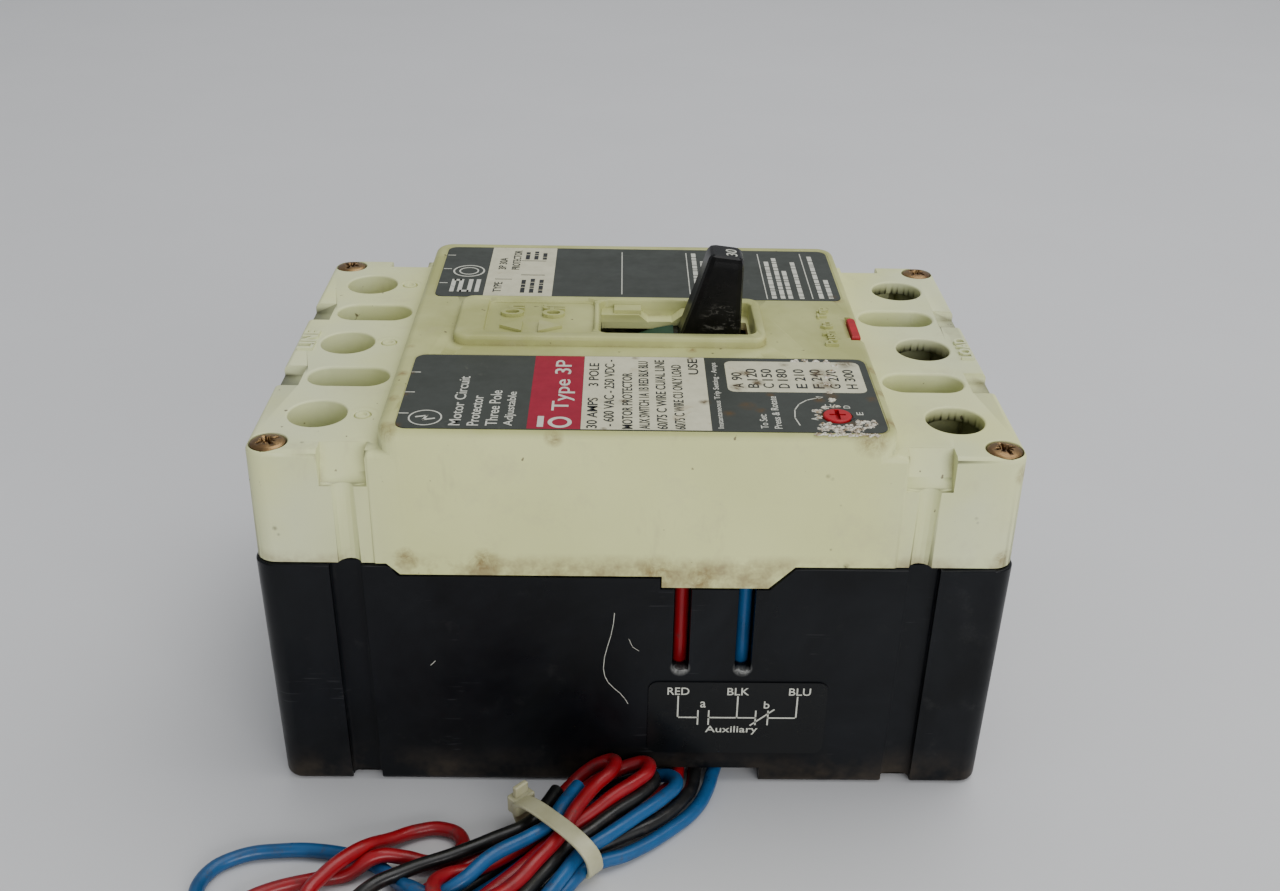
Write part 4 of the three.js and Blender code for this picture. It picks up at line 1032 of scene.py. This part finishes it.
def front_pale_print():
    pale = Print()
    for x, words, far in zip((-35.0, -31.5, -28.0, -24.6), TITLES, (-27.6, -36.4, -34.0, -34.5)):
        pale.column(words, x, -49.3, far, 2.25, INK_Z)
    emblem(pale, -40.8, -46.2, 3.1)
    for y in (-25.8, -35.1, -44.4):
        pale.bar(-46.1, -44.2, y - 0.15, y + 0.15, INK_Z)
    pale.column("Type 3P", -14.7, -42.6, -19.2, 4.4, INK_Z + 0.02)
    pale.bar(-19.3, -18.1, -49.6, -45.1, INK_Z + 0.02)
    pale.ring(-15.0, -47.6, 1.9, 0.8, INK_Z + 0.02)
    pale.column("Instantaneous Trip Setting - Amps", 15.9, -49.4, -19.6, 1.5, INK_Z)
    pale.column("To Set:", 24.1, -49.2, -43.2, 1.5, INK_Z)
    pale.column("Press & Rotate", 26.7, -49.2, -35.2, 1.5, INK_Z)
    arrow = [(30.9, -47.6), (30.3, -44.6), (30.6, -41.2), (31.7, -38.6), (33.5, -36.7), (36.3, -35.5)]
    pale.stroke(arrow, 0.25, INK_Z)
    pale.outline([(36.9, -35.3), (35.4, -35.0), (35.8, -36.4)], INK_Z)
    for step, (letter, _, _) in enumerate(SETTINGS):
        turn = math.radians(195 - 45 * step)
        x = DIAL_X + 4.7 * math.cos(turn)
        y = DIAL_Y + 4.7 * math.sin(turn)
        pale.column(letter, x, y - 0.6, y + 0.6, 1.3, INK_Z)
    pale.finish("front_pale_print", "ink_pale", "label_sheet", "casing")


def front_dark_print():
    dark = Print()
    for words, x, near, far in RATINGS:
        dark.column(words, x, near, far, 2.05, INK_Z + 0.02)
    dark.column("USE", 11.5, -25.4, -17.9, 2.1, INK_Z + 0.02)
    for letter, amps, x in SETTINGS:
        dark.column(letter, x, -31.4, -29.4, 2.2, INK_Z + 0.03)
        dark.column(amps, x, -27.9, -22.4 if len(amps) > 2 else -24.2, 2.2, INK_Z + 0.03)
    dark.outline([(41.0, -45.4), (42.0, -44.6), (41.0, -43.9)], INK_Z)
    dark.finish("front_dark_print", "ink_dark", "label_sheet", "casing")


def front_label():
    front_sheets()
    front_pale_print()
    front_dark_print()


def fine_line(ink, x, near, far, width=1.1):
    """Small print that is too fine to read: short bars for words."""
    y = near
    step = 0
    while y < far - 0.8:
        word = min(0.9 + 0.55 * ((step * 7 + int(abs(x) * 3)) % 5), far - y)
        ink.bar(x - width / 2, x + width / 2, y, y + word, INK_Z + 0.01)
        y += word + 0.45
        step += 1


def rear_pale_print():
    pale = Print()
    for y in (42.3, 33.0, 23.8):
        pale.bar(-46.2, -44.3, y - 0.15, y + 0.15, INK_Z)
    pale.ring(-40.0, 31.7, 3.6, 0.4, INK_Z)
    pale.ring(-40.0, 31.7, 2.2, 0.35, INK_Z)
    for x in (-42.9, -41.1, -38.9, -37.1):
        pale.bar(x - 0.5, x + 0.5, 18.4, 26.2, INK_Z)
    pale.bar(-41.1, -38.9, 18.4, 19.4, INK_Z)
    pale.bar(-42.9, -41.1, 25.2, 26.2, INK_Z)
    for x, near, far in ((-3.3, 17.9, 45.8), (12.6, 18.4, 45.9), (30.4, 16.2, 45.8), (41.0, 16.6, 46.2)):
        pale.bar(x - 0.12, x + 0.12, near, far, INK_Z)
    for x, near, far in (
        (14.4, 18.6, 45.6), (16.4, 18.6, 41.0), (32.1, 16.5, 40.5), (34.1, 16.5, 44.0), (35.9, 16.5, 34.5),
        (38.5, 16.5, 40.3), (43.1, 16.8, 45.4), (45.3, 16.8, 29.3),
    ):
        fine_line(pale, x, near, far)
    pale.finish("rear_pale_print", "ink_pale", "label_sheet", "casing")


def rear_dark_print():
    dark = Print()
    dark.column("TYPE", -32.4, 18.4, 24.6, 1.9, INK_Z + 0.02)
    dark.column("3P 30A", -32.2, 33.0, 40.8, 1.9, INK_Z + 0.02)
    dark.column("PROTECTOR", -29.0, 33.0, 46.0, 1.9, INK_Z + 0.02)
    for x in (-26.5, -24.4, -22.3):
        fine_line(dark, x, 18.2, 27.0, 1.0)
        fine_line(dark, x, 40.0, 45.6, 1.0)
    for x0, x1, y in ((-33.4, -29.4, 26.6), (-27.4, -21.7, 29.5), (-27.9, -21.9, 39.0)):
        dark.bar(x0, x1, y - 0.1, y + 0.1, INK_Z + 0.02)
    dark.finish("rear_dark_print", "ink_dark", "label_sheet", "casing")


def rear_label():
    patch("rear_sheet", (-46.5, 47.6, 15.6, 48.3, 2.2), SHEET_Z - 0.02, "label_grey", "rear_label")
    patch("rear_cream", (-35.4, -19.5, 15.7, 48.2, 0.1), SHEET_Z, "label_cream")
    rear_pale_print()
    rear_dark_print()


WIRING_Y = -52.56  # the wiring label's outer face


def stand_up(ink, y):
    """Turns flat print upright, onto a face that looks towards -y."""
    for vert in ink.bm.verts:
        x, z, lift = vert.co
        vert.co = (x, y * MM - lift, z)


def wiring_label():
    """The small black plate on the front of the base."""
    outline = rounded(3.1, 40.9, 8.7, 27.7, 2.0, 0, 5)
    sheet = prism("wiring_sheet", outline, "y", WIRING_Y, WIRING_Y + 0.2)
    give(sheet, "label_black", "label_sheet", "casing", "wiring_label")
    wiring_print()


def wiring_print():
    """The diagram of the auxiliary contacts."""
    ink = Print()

    def words(text, x, z, length, height):
        ink.text(text, lambda u, v: (x - length / 2 + u, z - height / 2 + v), length, height, 0)

    for text, x in (("RED", 9.4), ("BLK", 22.0), ("BLU", 35.0)):
        words(text, x, 25.4, 4.6, 1.9)
    words("a", 14.7, 21.9, 1.2, 1.6)
    words("b", 28.2, 21.9, 1.2, 1.9)
    words("Auxiliary", 21.0, 15.0, 11.2, 2.3)
    wires = (
        [(9.4, 24.0), (9.4, 18.4), (13.6, 18.4)], [(16.0, 18.4), (26.0, 18.4)], [(22.0, 24.0), (22.0, 18.4)],
        [(28.6, 18.4), (34.6, 18.4), (34.6, 24.0)],
        [(13.7, 16.6), (13.7, 20.2)], [(16.0, 16.6), (16.0, 20.2)],
        [(26.0, 16.6), (26.0, 20.2)], [(28.6, 16.6), (28.6, 20.2)], [(25.0, 16.4), (29.8, 20.6)],
    )
    for wire in wires:
        ink.stroke(wire, 0.32, 0)
    stand_up(ink, WIRING_Y - 0.01)
    ink.finish("wiring_print", "ink_pale", "label_sheet", "casing")


# ---------------------------------------------------------------- handle, button, dial and screws
PIVOT = (12.0, 54.0)
LEAN = math.radians(6.8)
BAND_R = 30.2  # the curved band that fills the slot under the lever
LEVER = (  # distance from the pin, left, right, half width, corner radius
    (26.9, -6.9, 7.7, 4.42, 1.3), (31.5, -6.0, 7.1, 4.42, 1.4), (40.0, -4.25, 6.0, 4.42, 1.4),
    (47.2, -2.95, 5.15, 4.42, 1.4), (48.6, -2.7, 4.95, 4.2, 1.3), (49.3, -2.3, 4.6, 3.8, 1.1),
    (49.6, -1.75, 4.1, 3.3, 0.9),
)
NOSE = 49.58


def on_handle(u, y, w):
    """A point given across and along the handle, in the frame's own axes."""
    x, z = PIVOT
    return (x + u * math.cos(LEAN) + w * math.sin(LEAN), y, z - u * math.sin(LEAN) + w * math.cos(LEAN))


def sector(name, inner, outer, first, last, half):
    """Part of a ring about the handle's pin, from one angle behind the lever to another before it."""
    outline = []
    for radius, turns in ((inner, (first, last)), (outer, (last, first))):
        for step in range(25):
            turn = math.radians(turns[0] + (turns[1] - turns[0]) * step / 24)
            outline.append(on_handle(-radius * math.sin(turn), 0, radius * math.cos(turn)))
    return loft(name, [[(x, y, z) for x, _, z in outline] for y in (-half, half)])


def add_handle():
    """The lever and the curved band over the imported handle's spoke: tapered, with a chamfered nose."""
    rings = []
    for w, u0, u1, half, r in LEVER:
        rings.append([on_handle(u, y, w) for u, y in rounded(u0, u1, -half, half, r, 0, 2)])
    lever = loft("lever", rings)
    reach = (-20, 20, -20, 20, 1)
    above = loft("above", [[on_handle(u, y, w) for u, y in rounded(*reach, 0, 2)] for w in (28.3, 70)])
    handle = copy_of("handle", "handle_lever")
    rider = sector("rider", 27.0, BAND_R, 40, -41, 4.3)
    carve(handle, ("DIFFERENCE", [above]), ("UNION", [rider, lever]))
    give(handle, "handle_black", "black_moulding", BODY_OF["handle"], "handle")
    smooth(handle, 20)


def add_digits():
    """The rating on the handle's nose."""
    digits = Print()
    points, faces = glyphs("30")
    span = max(p[0] for p in points)
    top = max(p[1] for p in points)
    fitted = []
    for u, v, w in points:
        fitted.append(on_handle(3.4 - v / top * 2.4, -2.6 + u / span * 4.2, NOSE + (w + 0.5) * 0.06))
    digits.solid(fitted, faces)
    digits.finish("handle_digits", "ink_pale", "black_moulding", BODY_OF["handle"])


def add_flags():
    """Coloured strips on the handle's shield: green shows at OFF, red at ON."""
    flags = (
        ("off_flag", 31.5, 14.0, "flag_strip", ("position_flag",)),
        ("on_flag", -14.5, -36.0, "red_moulding", ()),
    )
    for name, first, last, material, nodes in flags:
        flag = sector(name, BAND_R + 0.05, BAND_R + 0.25, first, last, 4.2)
        give(flag, material, material, BODY_OF["handle"], *nodes)


def add_button():
    """A red blade with one rounded end."""
    middle_x, middle_y = 47.75, -1.0
    outline = [(46.8, -6.2), (48.7, -6.2)]
    for step in range(9):
        turn = step * math.pi / 8
        outline.append((middle_x + 0.95 * math.cos(turn), 3.1 + 1.1 * math.sin(turn)))
    rings = []
    for z, shrink in ((83.6, 0), (86.0, 0), (86.3, 0.1), (86.45, 0.4)):
        wide, long = 1 - shrink / 2, 1 - shrink / 6
        ring = []
        for x, y in outline:
            ring.append((middle_x + (x - middle_x) * wide, middle_y + (y - middle_y) * long, z))
        rings.append(ring)
    blade = loft("button_blade", rings)
    button = copy_of("push_to_trip_button", "trip_button")
    keep = slab("keep", (40, 60, -1.69, 1.69, 0.05), [(40, 0), (84.0, 0)])
    carve(button, ("INTERSECT", [keep]), ("UNION", [blade]))
    give(button, "red_moulding", "red_moulding", BODY_OF["push_to_trip_button"], "push_to_trip_button")
    smooth(button, 34)


def add_dial():
    levels = [(82, 0), (85.9, 0), (86.15, -0.1), (86.25, -0.35)]
    head = disc("head", DIAL_X, DIAL_Y, 2.78, levels, 12)
    dial = copy_of("trip_dial", "dial_head")
    cross = [
        slab("slot", (DIAL_X - 0.45, DIAL_X + 0.45, DIAL_Y - 2.1, DIAL_Y + 2.1, 0.1), [(85.3, 0), (88, 0)]),
        slab("slot", (DIAL_X - 1.6, DIAL_X + 1.6, DIAL_Y - 0.3, DIAL_Y + 0.3, 0.1), [(85.6, 0), (88, 0)]),
    ]
    carve(dial, ("UNION", [head]), ("DIFFERENCE", cross))
    give(dial, "red_moulding", "red_moulding", BODY_OF["trip_dial"], "trip_dial")
    smooth(dial, 34)


SCREW_TOP = SHOULDER_Z + 0.05


def screw_head(x, y):
    """A low dome."""
    edge = SCREW_TOP - 0.45
    dome = [(SCREW_TOP - 2.2, 0), (edge, 0)]
    for turn in (0.35, 0.7, 1.05, 1.3):
        dome.append((edge + 0.75 * math.sin(turn), -3.4 * (1 - math.cos(turn)) * 0.9))
    return disc("head", x, y, 3.42, dome, 10)


def screw_cuts(x, y, turn):
    """The recess: a wide cross, and a deeper narrow one between its arms."""
    cuts = []
    for half, wide in ((2.3, 0.42), (0.42, 2.0)):
        levels = [(SCREW_TOP - 0.9, -0.15), (SCREW_TOP + 2, 0.1)]
        cuts.append(slab("recess", (-half, half, -wide, wide, 0.12), levels))
    for angle in (45, 135):
        levels = [(SCREW_TOP - 1.5, -0.1), (SCREW_TOP + 1, 0.05)]
        cuts.append(slab("cross", (-1.5, 1.5, -0.28, 0.28, 0.1), levels))
        cuts[-1].data.transform(Matrix.Rotation(math.radians(angle), 4, "Z"))
    for cut in cuts:
        cut.data.transform(Matrix.Rotation(turn, 4, "Z"))
        cut.data.transform(Matrix.Translation((x * MM, y * MM, 0)))
    return cuts


def add_cover_screws():
    corners = [(sx * SCREW_X, sy * SCREW_Y) for sx in SIGNS for sy in SIGNS]
    for number, (x, y) in enumerate(corners, 1):
        node = f"cover_screw_{number}"
        head = screw_head(x, y)
        screw = copy_of(node, f"screw_{number}")
        cuts = screw_cuts(x, y, math.radians(35 * number))
        carve(screw, ("UNION", [head]), ("DIFFERENCE", cuts))
        give(screw, "screw_brass", "screw_brass", "casing", node)
        smooth(screw, 34)


def add_plugs():
    """The sunk plugs in the small wells, each a little cone with a dimpled top."""
    levels = [(79.2, -0.05), (80.45, -0.1), (80.75, -0.3), (80.75, -0.7), (80.35, -1.1)]
    for number, (y, _) in enumerate(PLUGS, 1):
        plug = disc(f"well_plug_{number}", PLUG_X, y, 1.7, levels, 8)
        give(plug, "cream_moulding", "cream_moulding", "casing")
        smooth(plug)


# ---------------------------------------------------------------- wear that stands on the surface
GOLDEN_ANGLE = 2.39996
FLAKE_TOP = 0.55  # how far a flake's top draws in


def flake(bm, cx, cy, z, half, shape):
    """One irregular crumb with six corners, narrower on top."""
    ring = []
    for k, bulge in enumerate(shape):
        turn = math.radians(60 * k) + bulge * 0.3
        r = half * (0.6 + 0.4 * abs(bulge))
        ring.append((cx + r * math.cos(turn), cy + r * math.sin(turn) * 0.7))
    low = [bm.verts.new(Vector((x, y, z)) * MM) for x, y in ring]
    lift = z + 0.08 + 0.22 * half
    inner = [(cx + (x - cx) * FLAKE_TOP, cy + (y - cy) * FLAKE_TOP) for x, y in ring]
    high = [bm.verts.new(Vector((x, y, lift)) * MM) for x, y in inner]
    bm.faces.new(list(reversed(low)))
    bm.faces.new(high)
    for k in range(6):
        m = (k + 1) % 6
        bm.faces.new((low[k], low[m], high[m], high[k]))


def flakes(name, spots, z, spread, count, size, seed=3.0):
    """Crusty crumbs around the given spots, on a golden-angle spiral."""
    bm = bmesh.new()
    small, large = size
    index = 0
    for x, y in spots:
        for i in range(count):
            index += 1
            turn = index * GOLDEN_ANGLE
            reach = spread * math.sqrt((i + 0.5) / count)
            shape = [math.sin(index * seed + k * 1.7) for k in range(6)]
            half = small + (large - small) * abs(math.sin(index * 12.9898)) ** 2
            flake(bm, x + reach * math.cos(turn), y + reach * math.sin(turn), z, half, shape)
    bmesh.ops.recalc_face_normals(bm, faces=bm.faces)
    return give(new_mesh(name, bm), "white_crust", "label_sheet", "casing")


def add_residue():
    spots = (
        (35.3, -49.2), (37.0, -48.6), (38.8, -48.9), (40.6, -48.2), (42.4, -48.8), (44.4, -47.6),
        (42.6, -46.3), (36.0, -47.4), (44.9, -46.4), (41.2, -49.6), (38.2, -50.0),
    )
    flakes("label_residue", spots, INK_Z - 0.02, 1.1, 9, (0.2, 0.65))
    film = (
        (33.0, -18.2), (35.2, -17.9), (37.4, -18.3), (39.6, -18.6), (41.4, -20.4), (40.4, -23.0),
        (39.0, -26.0), (38.4, -29.2), (38.5, -33.0), (38.4, -36.6), (38.6, -39.4), (36.6, -40.0),
        (35.1, -41.6), (35.0, -43.8),
    )
    flakes("label_film", film, INK_Z - 0.02, 0.7, 5, (0.25, 0.7), 5.0)
    edge = [(34.0 + 1.25 * i, -51.0 + 0.25 * math.sin(i * 2.1)) for i in range(10)]
    flakes("edge_residue", edge, 85.62, 0.6, 7, (0.2, 0.5))


def add_scratch():
    """The long pale scratch on the front of the base."""
    ink = Print(0.02)
    path = [
        (-4.2, 45.0), (-4.4, 42.4), (-4.9, 39.4), (-5.6, 36.6), (-6.2, 33.8), (-6.4, 31.0),
        (-6.1, 29.0), (-5.4, 27.4), (-4.2, 25.9), (-2.9, 24.6), (-1.9, 23.2), (-1.2, 21.8),
    ]
    ink.stroke(path, 0.13, 0)
    ink.stroke([(-1.2, 38.6), (-0.4, 36.6), (0.9, 35.6)], 0.08, 0)
    ink.stroke([(-42.2, 31.5), (-41.2, 32.6)], 0.12, 0)
    stand_up(ink, -52.345)
    ink.finish("base_scratches", "ink_pale", "black_moulding", "casing")


front_label()
rear_label()
wiring_label()
add_handle()
add_digits()
add_flags()
add_button()
add_dial()
add_cover_screws()
add_plugs()
add_residue()
add_scratch()


# ---------------------------------------------------------------- frame pieces, stage and light
def dress_nodes():
    """Every CAD piece that still shows gets the finish of its slot."""
    slots = {row["node"]: row["material_slot"] for row in frame["record"]["subparts"]}
    for node, obj in NODES.items():
        obj.data.materials.clear()
        obj.data.materials.append(MATERIALS.get(slots[node], MATERIALS["steel"]))


def add_floor():
    bm = bmesh.new()
    bmesh.ops.create_grid(bm, x_segments=1, y_segments=1, size=6)
    floor = new_mesh("floor", bm)
    s = Surface("floor_paint", rough=0.6)
    s.colour(s.mix(s.noise(9, 5, 0.6), (0.60, 0.60, 0.61), (0.66, 0.66, 0.67)))
    s.bump(s.noise(160, 4, 0.6), 0.15, 0.25)
    floor.data.materials.append(s.material)


def area_light(name, place, target, size, power):
    data = bpy.data.lights.new(name, "AREA")
    data.shape = "RECTANGLE"
    data.size, data.size_y = size
    data.energy = power
    lamp = link(bpy.data.objects.new(name, data))
    lamp.location = place
    lamp.rotation_euler = (Vector(target) - Vector(place)).to_track_quat("-Z", "Y").to_euler()


SKY = (0.93, 0.96, 1.0, 1)
SKY_STRENGTH = 0.44
LAMP_POWER = 17


def add_light():
    world = bpy.data.worlds.new("studio")
    world.use_nodes = True
    background = world.node_tree.nodes["Background"]
    background.inputs["Color"].default_value = SKY
    background.inputs["Strength"].default_value = SKY_STRENGTH
    bpy.context.scene.world = world
    area_light("overhead", (0.45, 0.30, 1.45), (0, 0, 0.05), (1.5, 1.2), LAMP_POWER)
    area_light("front_fill", (0.55, -1.5, 0.55), (0, 0, 0.03), (1.3, 0.7), LAMP_POWER)


dress_nodes()
add_floor()
add_light()
